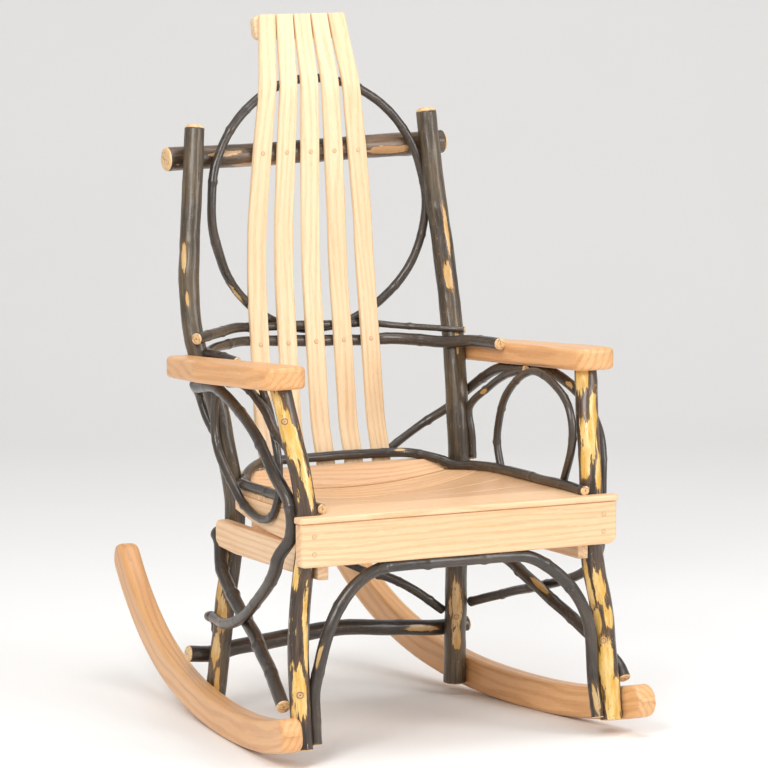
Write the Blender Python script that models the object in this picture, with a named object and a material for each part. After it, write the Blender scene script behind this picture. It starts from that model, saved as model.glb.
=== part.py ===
"""Rustic rocking chair: oak boards on a frame of bark-on hickory logs and bent branches.

Metres. +X is the sitter's left, -Y is the front of the chair, +Z is up, and z = 0 is the
floor under the rockers. Every piece is a separate closed body. Pieces that touch are cut
back so that a 0.3 mm gap is left between them.
"""
import math

import bmesh
import bpy
import numpy as np
from mathutils import Vector

# ---- overall sizes -------------------------------------------------------------------
WIDTH = 0.566          # front rail, end to end
DEPTH = 0.400          # front legs to rear legs, at the floor
HEIGHT = 1.148         # floor to the top of the back slats
STD_WIDTH, STD_DEPTH, STD_HEIGHT = 0.566, 0.400, 1.148   # control points are written for these

# ---- logs and branches (radii) -------------------------------------------------------
LEG_R = 0.0175         # front legs and rear posts
CROSSBAR_R = 0.0195
STRETCHER_R = 0.0135
BACK_HOOP_R = 0.0075
ARM_HOOP_R = 0.0095
TWIG_R = 0.0070
SEAT_HOOP_R = 0.0080
ARCH_R = 0.0100
SIDE_HOOP_R = 0.0090
BRACE_R = 0.0110
RING_R = 0.0065
SIDES = 8              # facets round a log

# ---- boards --------------------------------------------------------------------------
RAIL_T, RAIL_H = 0.020, 0.070          # front rail
SIDE_RAIL_T, SIDE_RAIL_H = 0.019, 0.048
SEAT_T = 0.010                         # seat boards
SEAT_SLATS = 6
SLAT_T, SLAT_W = 0.009, 0.0335         # back slats
BACK_SLATS = 5
ARM_T = 0.036
ROCKER_T, ROCKER_H = 0.036, 0.054
ROCKER_A, ROCKER_B = 0.285, 0.70       # running edge: height = A u^2 + B u^4
ROCKER_MID_Y = 0.034                   # where the running edge meets the floor
ROCKER_FRONT, ROCKER_REAR = -0.285, 0.640

# ---- heights -------------------------------------------------------------------------
RAIL_TOP = 0.385       # top of the front rail, under the seat
ARM_Z = 0.588          # underside of the arm over the front leg
ARM_SLOPE = 0.062      # the arm drops towards the back

GAP = 0.0003           # left between pieces that touch
BITE = 0.0015          # how far a branch is let into what it is nailed to


def fx(v):
    return v * WIDTH / STD_WIDTH


def fy(v):
    return v * DEPTH / STD_DEPTH


def fz(v):
    return v * HEIGHT / STD_HEIGHT


def P(x, y, z):
    """A control point of the standard chair, stretched to the overall sizes."""
    return Vector((fx(x), fy(y), fz(z)))


# ---- curves --------------------------------------------------------------------------
def spline(points, count, closed=False):
    """Points at even spacing on a smooth curve through the control points."""
    pts = [Vector(p) for p in points]
    n = len(pts)
    get = (lambda i: pts[i % n]) if closed else (lambda i: pts[min(max(i, 0), n - 1)])
    fine, knots = [], []
    for i in range(n if closed else n - 1):
        a, b, c, d = get(i - 1), get(i), get(i + 1), get(i + 2)
        t1 = max((b - a).length, 1e-4) ** 0.5
        t2 = max((c - b).length, 1e-4) ** 0.5
        t3 = max((d - c).length, 1e-4) ** 0.5
        m1 = (c - b) + ((b - a) / t1 - (c - a) / (t1 + t2)) * t2 if (b - a).length > 1e-6 else c - b
        m2 = (c - b) + ((d - c) / t3 - (d - b) / (t2 + t3)) * t2 if (d - c).length > 1e-6 else c - b
        for k in range(12):
            u = k / 12
            fine.append(b * (2 * u ** 3 - 3 * u ** 2 + 1) + m1 * (u ** 3 - 2 * u ** 2 + u)
                        + c * (3 * u ** 2 - 2 * u ** 3) + m2 * (u ** 3 - u ** 2))
            knots.append(i + u)
    fine.append(get(0) if closed else pts[-1])
    knots.append(n if closed else n - 1)
    run = [0.0]
    for a, b in zip(fine, fine[1:]):
        run.append(run[-1] + (b - a).length)
    where = np.linspace(0, run[-1], count + 1)[:-1] if closed else np.linspace(0, run[-1], count)
    xyz = [np.interp(where, run, [p[k] for p in fine]) for k in range(3)]
    return [Vector(p) for p in zip(*xyz)], np.interp(where, run, knots)


class Log:
    """A round log or branch: a centreline with a radius at every control point."""

    def __init__(self, points, radii, rings=16, closed=False, dome=0.0):
        self.closed, self.dome = closed, dome
        self.path, knots = spline(points, rings, closed)
        if not isinstance(radii, (list, tuple)):
            radii = [radii] * len(points)
        self.radius = [float(np.interp(k, range(len(radii)), radii)) for k in knots]

    def at(self, z):
        """Centre and radius of an upright log at a height."""
        zs = [p.z for p in self.path]
        order = sorted(range(len(zs)), key=lambda i: zs[i])
        cols = [[self.path[i][k] for i in order] for k in range(2)]
        zs = [zs[i] for i in order]
        x, y = (float(np.interp(z, zs, c)) for c in cols)
        return Vector((x, y, z)), float(np.interp(z, zs, [self.radius[i] for i in order]))

    def solid(self, grow=0.0):
        """Vertices and faces of the tube."""
        n, path = len(self.path), self.path
        verts, faces = [], []
        side = None
        for i, p in enumerate(path):
            a = path[i - 1] if i or self.closed else p
            b = path[(i + 1) % n] if i < n - 1 or self.closed else p
            t = (b - a).normalized()
            if side is None:
                side = t.orthogonal().normalized()
            side = (side - t * side.dot(t)).normalized()
            up = t.cross(side)
            r = self.radius[i] + grow
            if not self.closed and grow:
                p = p + t * (grow if i == n - 1 else -grow if i == 0 else 0)
            for k in range(SIDES):
                ang = 2 * math.pi * k / SIDES
                verts.append(p + (side * math.cos(ang) + up * math.sin(ang)) * r)
        rings = n
        if self.dome:
            t = (path[-1] - path[-2]).normalized()
            for lift, share in ((0.6, 0.72), (1.0, 0.35)):
                last = verts[(n - 1) * SIDES:n * SIDES]
                verts += [path[-1] + t * self.dome * lift + (v - path[-1]) * share for v in last]
                rings += 1
        twist = 0
        if self.closed:        # start the seam where the last ring lines up best
            first, last = verts[:SIDES], verts[-SIDES:]
            twist = min(range(SIDES), key=lambda s: sum(
                (first[(k + s) % SIDES] - last[k]).length for k in range(SIDES)))
        for i in range(rings if self.closed else rings - 1):
            j, s = (i + 1) % rings, (twist if i == rings - 1 else 0)
            for k in range(SIDES):
                m = (k + 1) % SIDES
                faces.append((i * SIDES + k, i * SIDES + m,
                              j * SIDES + (m + s) % SIDES, j * SIDES + (k + s) % SIDES))
        if not self.closed:
            faces.append(tuple(range(SIDES))[::-1])
            faces.append(tuple((rings - 1) * SIDES + k for k in range(SIDES)))
        return verts, faces


def on(log, z, ax, ay, r):
    """Centre of a branch of radius r let into an upright log at height z, on one side."""
    c, big = log.at(z)
    n = Vector((ax, ay, 0)).normalized()
    return c + n * (big + r - BITE)


# ---- boards --------------------------------------------------------------------------
class Board:
    """A flat outline given thickness, with its edges eased, then put in place."""

    def __init__(self, outline, low, high, ease, place):
        self.outline, self.low, self.high, self.ease, self.place = outline, low, high, ease, place

    def ring(self, inset):
        pts, n = [Vector(p) for p in self.outline], len(self.outline)
        out = []
        for i, p in enumerate(pts):
            e1, e2 = (p - pts[i - 1]).normalized(), (pts[(i + 1) % n] - p).normalized()
            n1, n2 = Vector((-e1.y, e1.x)), Vector((-e2.y, e2.x))
            m = (n1 + n2).normalized()
            out.append(p + m * (inset / max(m.dot(n1), 0.5)))
        return out

    def solid(self, grow=0.0):
        c = self.ease
        layers = [(self.low - grow, c - grow), (self.low + c - grow, -grow),
                  (self.high - c + grow, -grow), (self.high + grow, c - grow)]
        n = len(self.outline)
        verts = [self.place(q.x, q.y, h) for h, inset in layers for q in self.ring(inset)]
        faces = [tuple(range(n))[::-1], tuple(3 * n + k for k in range(n))]
        for i in range(3):
            for k in range(n):
                m = (k + 1) % n
                faces.append((i * n + k, i * n + m, (i + 1) * n + m, (i + 1) * n + k))
        return verts, faces


class Strip:
    """A bent board: one eased rectangular section carried along a list of stations."""

    def __init__(self, stations, thick, ease=0.0015, twisted=False):
        # a station is (centre, half-width vector, unit normal)
        self.stations, self.thick, self.ease, self.twisted = stations, thick, ease, twisted

    def solid(self, grow=0.0):
        verts, faces = [], []
        h, c, n = self.thick / 2 + grow, self.ease, len(self.stations)
        for i, (p, half, normal) in enumerate(self.stations):
            w, side = half.length + grow, half.normalized()
            along = side.cross(normal).normalized()
            if grow and i in (0, n - 1):
                step = self.stations[1][0] - p if i == 0 else p - self.stations[-2][0]
                along = along if along.dot(step) > 0 else -along
                p = p + along * (grow if i else -grow)
            for u, v in ((-w, c - h), (c - w, -h), (w - c, -h), (w, c - h),
                         (w, h - c), (w - c, h), (c - w, h), (-w, h - c)):
                verts.append(p + side * u + normal * v)
        for i in range(n - 1):
            for k in range(8):
                m = (k + 1) % 8
                face = (i * 8 + k, i * 8 + m, (i + 1) * 8 + m, (i + 1) * 8 + k)
                # the sides of a twisted board are always split along the same diagonal
                faces += [face[:3], (face[0],) + face[2:]] if self.twisted else [face]
        faces += [tuple(range(8))[::-1], tuple((n - 1) * 8 + k for k in range(8))]
        return verts, faces


def fillet(points, radius, steps=3):
    """Outline with its corners rounded."""
    pts, out = [Vector(p) for p in points], []
    n = len(pts)
    for i, p in enumerate(pts):
        r = radius[i] if isinstance(radius, (list, tuple)) else radius
        if not r:
            out.append(p)
            continue
        a, b = (pts[i - 1] - p), (pts[(i + 1) % n] - p)
        half = a.angle(b) / 2
        cut = min(r / math.tan(half), 0.45 * a.length, 0.45 * b.length)
        r = cut * math.tan(half)
        centre = p + (a.normalized() + b.normalized()).normalized() * (r / math.sin(half))
        s, e = p + a.normalized() * cut - centre, p + b.normalized() * cut - centre
        a0 = math.atan2(s.y, s.x)
        turn = (math.atan2(e.y, e.x) - a0 + math.pi) % (2 * math.pi) - math.pi
        out += [centre + Vector((math.cos(a0 + turn * k / steps), math.sin(a0 + turn * k / steps))) * r
                for k in range(steps + 1)]
    return out


# ---- building ------------------------------------------------------------------------
for old in list(bpy.data.objects):
    bpy.data.objects.remove(old, do_unlink=True)

COLOURS = {
    "bark": (0.085, 0.055, 0.035, 0.45),
    "slat_oak": (0.80, 0.60, 0.38, 0.50),
    "rail_oak": (0.78, 0.52, 0.32, 0.45),
    "arm_oak": (0.72, 0.40, 0.19, 0.40),
}
MADE = []              # (name, shape, object, low corner, high corner)


def material(kind, name):
    mat = bpy.data.materials.new(name)
    mat.use_nodes = True
    shader = mat.node_tree.nodes["Principled BSDF"]
    r, g, b, rough = COLOURS[kind]
    shader.inputs["Base Color"].default_value = (r, g, b, 1)
    shader.inputs["Roughness"].default_value = rough
    shader.inputs["Metallic"].default_value = 0.0
    return mat


def mesh_object(name, solid):
    mesh = bpy.data.meshes.new(name)
    mesh.from_pydata([tuple(v) for v in solid[0]], [], solid[1])
    bm = bmesh.new()
    bm.from_mesh(mesh)
    bmesh.ops.recalc_face_normals(bm, faces=bm.faces)
    bm.to_mesh(mesh)
    bm.free()
    obj = bpy.data.objects.new(name, mesh)
    bpy.context.scene.collection.objects.link(obj)
    return obj


def keep_largest(obj):
    """Drop the slivers a cut can leave behind."""
    bm = bmesh.new()
    bm.from_mesh(obj.data)
    bmesh.ops.remove_doubles(bm, verts=bm.verts, dist=0.00002)
    left, groups = set(bm.verts), []
    while left:
        todo, group = [left.pop()], set()
        while todo:
            v = todo.pop()
            group.add(v)
            for e in v.link_edges:
                w = e.other_vert(v)
                if w in left:
                    left.discard(w)
                    todo.append(w)
        groups.append(group)
    groups.sort(key=lambda g: len(g))
    drop = [v for g in groups[:-1] for v in g]
    if drop:
        bmesh.ops.delete(bm, geom=drop, context="VERTS")
    bm.to_mesh(obj.data)
    bm.free()


def cut(obj, solid):
    """Take a solid away from an object."""
    tool = mesh_object("cutter", solid)
    tool.hide_render, tool.display_type = True, "WIRE"
    mod = obj.modifiers.new("cut", "BOOLEAN")
    mod.operation, mod.solver, mod.object = "DIFFERENCE", "EXACT", tool
    deps = bpy.context.evaluated_depsgraph_get()
    mesh = bpy.data.meshes.new_from_object(obj.evaluated_get(deps))
    obj.modifiers.remove(mod)
    old, obj.data = obj.data, mesh
    bpy.data.meshes.remove(old)
    data = tool.data
    bpy.data.objects.remove(tool, do_unlink=True)
    bpy.data.meshes.remove(data)
    keep_largest(obj)


def add(name, shape, kind):
    """Make a piece and cut it back from every earlier piece it meets."""
    solid = shape.solid()
    low = Vector([min(v[k] for v in solid[0]) for k in range(3)])
    high = Vector([max(v[k] for v in solid[0]) for k in range(3)])
    obj = mesh_object(name, solid)
    for _, other, _, olow, ohigh in MADE:
        if all(low[k] < ohigh[k] + GAP and high[k] > olow[k] - GAP for k in range(3)):
            cut(obj, other.solid(GAP))
    obj.data.materials.clear()
    obj.data.materials.append(material(kind, name))
    MADE.append((name, shape, obj, low, high))
    return shape


# ---- upright logs: their centrelines place everything else ----------------------------
def arm_under(y):
    return fz(ARM_Z) - ARM_SLOPE * (y - fy(-0.146))


def front_leg(s, r):
    pts = [P(s * x, y, z) for x, y, z in (
        (0.278, -0.230, 0.027), (0.277, -0.219, 0.100), (0.273, -0.205, 0.200), (0.259, -0.195, 0.300),
        (0.255, -0.200, 0.380), (0.259, -0.188, 0.450), (0.266, -0.165, 0.520))]
    top = P(s * 0.274, -0.146, 0.588)
    top.z = arm_under(top.y) - GAP
    return Log(pts + [top], r, 18)


FL = front_leg(-1, LEG_R * 0.95)
FR = front_leg(1, LEG_R * 1.05)
RL = Log([P(*p) for p in (
    (-0.229, 0.205, 0.024), (-0.217, 0.202, 0.128), (-0.211, 0.199, 0.195), (-0.201, 0.195, 0.261),
    (-0.199, 0.188, 0.362), (-0.212, 0.193, 0.445), (-0.223, 0.207, 0.527), (-0.247, 0.228, 0.608),
    (-0.250, 0.247, 0.673), (-0.244, 0.262, 0.754), (-0.231, 0.280, 0.850), (-0.215, 0.302, 0.966))],
    LEG_R * 0.95, 22, dome=0.006)
RR = Log([P(*p) for p in (
    (0.219, 0.205, 0.020), (0.219, 0.202, 0.127), (0.219, 0.198, 0.213), (0.219, 0.190, 0.330),
    (0.219, 0.192, 0.435), (0.221, 0.203, 0.501), (0.226, 0.224, 0.592), (0.228, 0.245, 0.666),
    (0.225, 0.261, 0.749), (0.218, 0.283, 0.866), (0.215, 0.304, 0.980))],
    [LEG_R * 1.05] * 9 + [LEG_R, LEG_R * 0.97], 20, dome=0.007)
LEGS = {-1: (FL, RL), 1: (FR, RR)}

# ---- rockers -------------------------------------------------------------------------


def rocker(s):
    front, rear = LEGS[s]
    ends = []
    for leg, z in ((front, fz(0.05)), (rear, fz(0.06))):
        c, r = leg.at(z)
        ends.append(Vector((c.x + s * (r + ROCKER_T / 2 - BITE), c.y)))
    run = (ends[1] - ends[0]).normalized()                       # towards the back
    across = Vector((run.y, -run.x)) if s > 0 else Vector((-run.y, run.x))
    mid = fy(ROCKER_MID_Y)
    base = ends[0] + run * ((mid - ends[0].y) / run.y)
    steps, nose = 22, ROCKER_H / 2
    tip = nose * 0.75
    u0, u1 = (fy(ROCKER_FRONT) - mid) / run.y + tip, (fy(ROCKER_REAR) - mid) / run.y - tip

    def edge(u, h):
        """A point h above the running edge, measured square to it."""
        slope = 2 * ROCKER_A * u + 4 * ROCKER_B * u ** 3
        n = Vector((-slope, 1)).normalized()
        return Vector((u, ROCKER_A * u * u + ROCKER_B * u ** 4)) + n * h

    stations = [u0 + (u1 - u0) * i / steps for i in range(steps + 1)]
    outline = [edge(u, 0) for u in stations]
    for u, sign in ((u1, 1), (u0, -1)):                          # tips and top edge
        c, out = edge(u, nose), edge(u, 0) - edge(u, nose)
        along = Vector((-out.y, out.x)).normalized() * sign
        for k in range(1, 6):
            t = math.pi * k / 6 + (0 if sign > 0 else math.pi)
            outline.append(c + out * math.cos(t) + along * (tip * abs(math.sin(t))))
        if sign > 0:
            outline += [edge(u, ROCKER_H) for u in stations[::-1]]

    def place(u, v, h):
        p = base + run * u + across * h
        return Vector((p.x, p.y, v))
    return Board(outline, -ROCKER_T / 2, ROCKER_T / 2, 0.005, place)


add("rocker_left", rocker(-1), "arm_oak")
add("rocker_right", rocker(1), "arm_oak")

# ---- arms ----------------------------------------------------------------------------


def arm(s):
    front, rear = LEGS[s]
    leg, r_leg = front.at(fz(0.58))
    post, r_post = rear.at(fz(0.585))
    back_y, front_y = post.y + 0.022, leg.y - 0.036
    inner_back = abs(post.x) + r_post - BITE
    inner_front = abs(leg.x) - r_leg - 0.014
    outline = [(inner_back, back_y), (inner_back + 0.002, post.y - 0.06),
               (inner_front + 0.003, leg.y + 0.05), (inner_front, front_y),
               (inner_front + 0.070, front_y), (inner_front + 0.078, leg.y + 0.04),
               (inner_back + 0.064, post.y - 0.14), (inner_back + 0.042, back_y)]
    outline = [Vector((s * x, y)) for x, y in outline]
    outline = fillet(outline, [0.006, 0.05, 0.05, 0.016, 0.018, 0.05, 0.05, 0.012], 2)
    if s < 0:
        outline = outline[::-1]
    return Board(outline, 0, ARM_T, 0.006, lambda x, y, h: Vector((x, y, arm_under(y) + h)))


add("arm_left", arm(-1), "arm_oak")
add("arm_right", arm(1), "arm_oak")

# ---- seat frame ----------------------------------------------------------------------
RAIL_Z1 = fz(RAIL_TOP)
RAIL_Z0 = RAIL_Z1 - RAIL_H
LEG_MID_Z = RAIL_Z1 - RAIL_H / 2
RAIL_Y1 = min(leg.at(LEG_MID_Z)[0].y - leg.at(LEG_MID_Z)[1] for leg in (FL, FR)) + BITE
RAIL_Y0 = RAIL_Y1 - RAIL_T
BACK_Y = max(leg.at(RAIL_Z1)[0].y + leg.at(RAIL_Z1)[1] for leg in (RL, RR)) - BITE
BACK_RAIL_T = 0.026
SEAT_BACK = BACK_Y - 0.004


def seat_top(x, y):
    """Height of the seat's upper face: scooped out towards the back, where it rolls up."""
    ys = [fy(v) for v in (-0.144, -0.072, 0.021, 0.075, 0.119, 0.145, 0.168)] + [SEAT_BACK]
    deep = (0.001, 0.008, 0.018, 0.026, 0.033, 0.031, 0.022, -0.012)
    side = (0.0, 0.0, 0.0, 0.0, 0.0, -0.002, -0.006, -0.012)
    centre, edge = float(np.interp(y, ys, deep)), float(np.interp(y, ys, side))
    spread = min(abs(x) / (WIDTH * 0.405), 1.0) ** 2.1
    return RAIL_Z1 + SEAT_T - centre - (edge - centre) * spread


def board_xz(outline, y0, y1, ease):
    return Board(outline, y0, y1, ease, lambda u, v, h: Vector((u, h, v)))


half = WIDTH / 2
add("front_rail", board_xz(fillet([(-half, RAIL_Z0), (half, RAIL_Z0), (half, RAIL_Z1 - 0.0005),
                                   (-half, RAIL_Z1 - 0.0005)], [0.008, 0.014, 0, 0]),
                           RAIL_Y0, RAIL_Y1, 0.002), "rail_oak")


def leg_edge(log, z, s, sign):
    c, r = log.at(z)
    return c.x * s + sign * r


def side_board(s, x_front, x_rear, y_front, y_rear, thick, outline):
    """A board on edge between two points in plan; its inner face passes through them."""
    a, b = Vector((s * x_front, y_front)), Vector((s * x_rear, y_rear))
    run = (b - a).normalized()
    out = Vector((run.y, -run.x)) * s

    def place(u, v, h):
        p = a + run * u + out * h
        return Vector((p.x, p.y, v))
    return Board(outline((b - a).length), 0, thick, 0.002, place)


SIDE_TOP = RAIL_Z1 - 0.052
CLEAT_T = 0.019
SEAT_HALF = min(abs(leg.at(RAIL_Z1)[0].x) - leg.at(RAIL_Z1)[1] for leg in (FL, FR)) - 0.004
for s, label in ((-1, "left"), (1, "right")):
    front, rear = LEGS[s]
    zr = SIDE_TOP - SIDE_RAIL_H / 2
    x_rear = leg_edge(rear, zr, s, 1) - BITE
    x_front = leg_edge(front, zr, s, -1) - SIDE_RAIL_T + BITE
    rear_y = rear.at(zr)[0].y - 0.002

    def rail_outline(length):
        z0, z1 = SIDE_TOP - SIDE_RAIL_H, SIDE_TOP
        return fillet([(0, z0 + 0.006), (length * 0.8, z0), (length, z0 + 0.004), (length, z1), (0, z1)],
                      [0, 0, 0.014, 0.014, 0])
    add("side_rail_" + label, side_board(s, x_front, x_rear, RAIL_Y1 + GAP, rear_y, SIDE_RAIL_T,
                                         rail_outline), "rail_oak")

    cleat_rear = fy(0.112)

    def cleat_outline(length, x=SEAT_HALF):
        steps = 8
        ys = [RAIL_Y1 + GAP + length * k / steps for k in range(steps + 1)]
        top = [(y - RAIL_Y1 - GAP, seat_top(x, y) - SEAT_T - GAP - 0.0002) for y in ys]
        low = [(length * f, SIDE_TOP + GAP + 0.026 * f ** 3) for f in (0, 0.3, 0.5, 0.7, 0.85, 1)]
        return low + top[::-1]
    add("seat_cleat_" + label, side_board(s, SEAT_HALF - CLEAT_T, SEAT_HALF - CLEAT_T, RAIL_Y1 + GAP,
                                          cleat_rear, CLEAT_T, cleat_outline), "rail_oak")

bar = SEAT_HALF - 0.012
cross_y = fy(0.058)
cross_top = seat_top(0, cross_y + 0.019) - SEAT_T - 0.0015
add("seat_cross_rail", board_xz([(-bar, cross_top - 0.045), (bar, cross_top - 0.045),
                                 (bar, cross_top), (-bar, cross_top)],
                                cross_y, cross_y + 0.019, 0.0015), "rail_oak")
left_x, right_x = RL.at(RAIL_Z1)[0].x + 0.005, RR.at(RAIL_Z1)[0].x - 0.003
add("back_rail", board_xz(fillet([(left_x, RAIL_Z0 + 0.018), (right_x, RAIL_Z0 + 0.018),
                                  (right_x, RAIL_Z1 + 0.018), (left_x, RAIL_Z1 + 0.018)], 0.006),
                          BACK_Y, BACK_Y + BACK_RAIL_T, 0.002), "rail_oak")

# ---- seat boards ---------------------------------------------------------------------
SEAMS = [fy(v) for v in (-0.144, -0.072, 0.021, 0.119, 0.168)] + [SEAT_BACK]     # between seat boards
SEAT_GAP = 0.0022


CLEAR = min(abs(leg.at(RAIL_Z1)[0].x) - leg.at(RAIL_Z1)[1] for leg in (RL, RR)) - 0.003


def seat_half(y):
    """Half width of the seat behind the front board; it narrows to pass between the posts."""
    ys = (fy(0.085), fy(0.119), fy(0.145), fy(0.168), SEAT_BACK)
    xs = (SEAT_HALF, SEAT_HALF - 0.008, (SEAT_HALF + CLEAR) / 2 - 0.002, CLEAR + 0.001, CLEAR - 0.012)
    return float(np.interp(y, ys, xs))


def seat_board(y0, y1, stations=17):
    out = []
    for k in range(stations):
        t = 2 * k / (stations - 1) - 1
        x0, x1 = seat_half(y0) * t, seat_half(y1) * t
        a = Vector((x0, y0, seat_top(x0, y0) - SEAT_T / 2))
        b = Vector((x1, y1, seat_top(x1, y1) - SEAT_T / 2))
        x = (x0 + x1) / 2
        dx = Vector((1, 0, (seat_top(x + 0.001, (y0 + y1) / 2) - seat_top(x - 0.001, (y0 + y1) / 2)) / 0.002))
        side = (b - a) / 2
        out.append(((a + b) / 2, side, dx.cross(side).normalized()))
    return Strip(out, SEAT_T, twisted=True)


half, y0, y1 = WIDTH / 2 + 0.004, RAIL_Y0 - 0.004, SEAMS[0]
notch = max(leg.at(RAIL_Z1)[0].y + leg.at(RAIL_Z1)[1] for leg in (FL, FR))
flat = RAIL_Z1
add("seat_slat_1", Board(fillet([(-half, y0), (half, y0), (half, RAIL_Y1 - 0.001),
                                 (SEAT_HALF, RAIL_Y1 - 0.001), (SEAT_HALF, y1), (-SEAT_HALF, y1),
                                 (-SEAT_HALF, RAIL_Y1 - 0.001), (-half, RAIL_Y1 - 0.001)],
                                [0.008, 0.008, 0.004, 0, 0.004, 0.004, 0, 0.004], 2),
                         flat, flat + SEAT_T, 0.002, lambda x, y, h: Vector((x, y, h))), "rail_oak")
for i in range(1, SEAT_SLATS):
    add("seat_slat_%d" % (i + 1), seat_board(SEAMS[i - 1] + SEAT_GAP, SEAMS[i]), "rail_oak")

# ---- back ----------------------------------------------------------------------------
BAR_Z = fz(0.920)
BAR_Y = max(leg.at(BAR_Z)[0].y + leg.at(BAR_Z)[1] for leg in (RL, RR)) + CROSSBAR_R - BITE
FAN_X = fx(-0.003)                       # the fan of slats stands a little off centre
SLAT_FOOT = RAIL_Z1 - 0.035
TOP_Z = fz(STD_HEIGHT)


def slat_y(z):
    """Centre of the back slats: nailed to the back rail, then S-curved over the crossbar."""
    at_bar = BAR_Y - CROSSBAR_R - SLAT_T / 2 + 0.0004
    foot = BACK_Y + BACK_RAIL_T + SLAT_T / 2
    zs = [SLAT_FOOT, RAIL_Z1 + 0.006, fz(0.430), fz(0.504), fz(0.588), fz(0.661), fz(0.720),
          fz(0.788), BAR_Z, fz(1.030), fz(1.080), fz(1.121), TOP_Z]
    low = at_bar - foot
    ys = [foot, foot + 0.001] + [foot + low * f for f in (0.34, 0.52, 0.68, 0.83, 0.95, 0.985)]
    ys += [at_bar, at_bar + 0.001, at_bar + 0.013, at_bar + 0.026, at_bar + 0.031]
    return float(np.interp(z, zs, ys))


def slat_spread(z):
    zs = [fz(v) for v in (0.35, 0.44, 0.68, 0.80, 0.92, 1.03, 1.148)]
    return float(np.interp(z, zs, [fx(v) for v in (0.0515, 0.0520, 0.0510, 0.049, 0.0440, 0.0385, 0.0318)]))


def slat_half(z):
    return float(np.interp(z, [fz(0.5), fz(0.92), fz(1.148)], [SLAT_W / 2, SLAT_W / 2, SLAT_W / 2 * 0.90]))


def slat_x(i, z):
    return FAN_X + (i - (BACK_SLATS - 1) / 2) * slat_spread(z)


CREST_H, CREST_T = 0.040, 0.018
SLAT_STEPS = 14
slat_step = (TOP_Z - SLAT_FOOT) / SLAT_STEPS
slat_rise = (slat_y(TOP_Z) - slat_y(TOP_Z - slat_step)) / slat_step      # lean of the last stretch
tilt = math.atan(slat_rise)
crest_y = slat_y(TOP_Z) - slat_rise * CREST_H / 2 + (SLAT_T / 2 + GAP) / math.cos(tilt)
crest_half = 2 * slat_spread(TOP_Z) + SLAT_W / 2 + 0.006


def crest_place(u, v, h):
    return Vector((FAN_X + u, crest_y + h * math.cos(tilt) + v * math.sin(tilt),
                   TOP_Z - CREST_H / 2 + v * math.cos(tilt) - h * math.sin(tilt)))


add("crest_rail", Board(fillet([(-crest_half, -CREST_H / 2), (crest_half, -CREST_H / 2),
                                (crest_half, CREST_H / 2), (-crest_half, CREST_H / 2)], 0.010),
                        0, CREST_T, 0.003, crest_place), "slat_oak")
for i in range(BACK_SLATS):
    stations = []
    for k in range(SLAT_STEPS + 1):
        z = SLAT_FOOT + slat_step * k
        c = Vector((slat_x(i, z), slat_y(z), z))
        d = Vector((0, slat_y(z + 0.012) - slat_y(z - 0.012), 0.024)).normalized()
        if k >= SLAT_STEPS - 1:
            d = Vector((0, slat_rise, 1)).normalized()
        stations.append((c, Vector((slat_half(z), 0, 0)), Vector((0, -d.z, d.y))))
    add("back_slat_%d" % (i + 1), Strip(stations, SLAT_T, 0.002), "slat_oak")

# ---- logs ----------------------------------------------------------------------------
add("front_leg_left", FL, "bark")
add("front_leg_right", FR, "bark")
add("rear_post_left", RL, "bark")
add("rear_post_right", RR, "bark")
add("top_crossbar", Log([Vector((fx(x), BAR_Y, BAR_Z + dz)) for x, dz in (
    (-0.253, -0.0055), (-0.08, -0.003), (0.09, 0.001), (0.256, 0.006))],
                        [CROSSBAR_R * 1.02, CROSSBAR_R * 0.98, CROSSBAR_R, CROSSBAR_R], 14), "bark")


def behind(leg, z, r):
    return on(leg, z, 0, 1, r).y


st_y = (behind(RL, fz(0.10), STRETCHER_R) + behind(RR, fz(0.11), STRETCHER_R)) / 2
add("rear_stretcher", Log([Vector((fx(x), st_y + dy, fz(z))) for x, dy, z in (
    (-0.262, 0, 0.103), (-0.222, 0, 0.100), (-0.169, 0.002, 0.107), (-0.078, 0.003, 0.116),
    (0.017, 0.003, 0.124), (0.130, 0.002, 0.115), (0.200, 0, 0.110), (0.256, 0, 0.113))],
    STRETCHER_R, 18), "bark")

# ---- bent branches of the back -------------------------------------------------------
slat_back = SLAT_T / 2 - BITE
r = ARM_HOOP_R
za = fz(0.603)
add("arm_hoop", Log([
    Vector((leg_edge(RL, za, 1, 1) + r - 0.004, RL.at(za)[0].y - 0.105, za - 0.004)),
    Vector((leg_edge(RL, za, 1, 1) + r - 0.010, RL.at(za)[0].y - 0.055, za)),
    on(RL, za + 0.002, 0.45, -1, r * 0.85),
    Vector((slat_x(0, za) - 0.040, slat_y(za) + slat_back - 0.001, za + 0.007)),
    Vector((slat_x(0, za) - 0.014, slat_y(za) + slat_back + r * 0.9, za + 0.006)),
    Vector((slat_x(2, za), slat_y(za) + slat_back + r, za)),
    Vector((slat_x(4, za) + 0.012, slat_y(za) + slat_back + r, za - 0.004)),
    Vector((slat_x(4, za) + 0.048, slat_y(za) - 0.006, za - 0.003)),
    on(RR, za - 0.003, -0.45, -1, r),
    Vector((leg_edge(RR, za, 1, 1) - r - 0.002, RR.at(za)[0].y - 0.055, za)),
    Vector((leg_edge(RR, za, 1, 1) - r, RR.at(za)[0].y - 0.105, za + 0.003)),
    Vector((leg_edge(RR, za, 1, 1) - r + 0.001, RR.at(za)[0].y - 0.150, za + 0.005))],
    [r * 0.8, r * 0.8, r * 0.8, r * 0.85, r * 0.9] + [r] * 2 + [r * 1.05] * 3 + [r * 1.1] * 2, 26), "bark")
r = TWIG_R
zt = fz(0.629)
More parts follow.
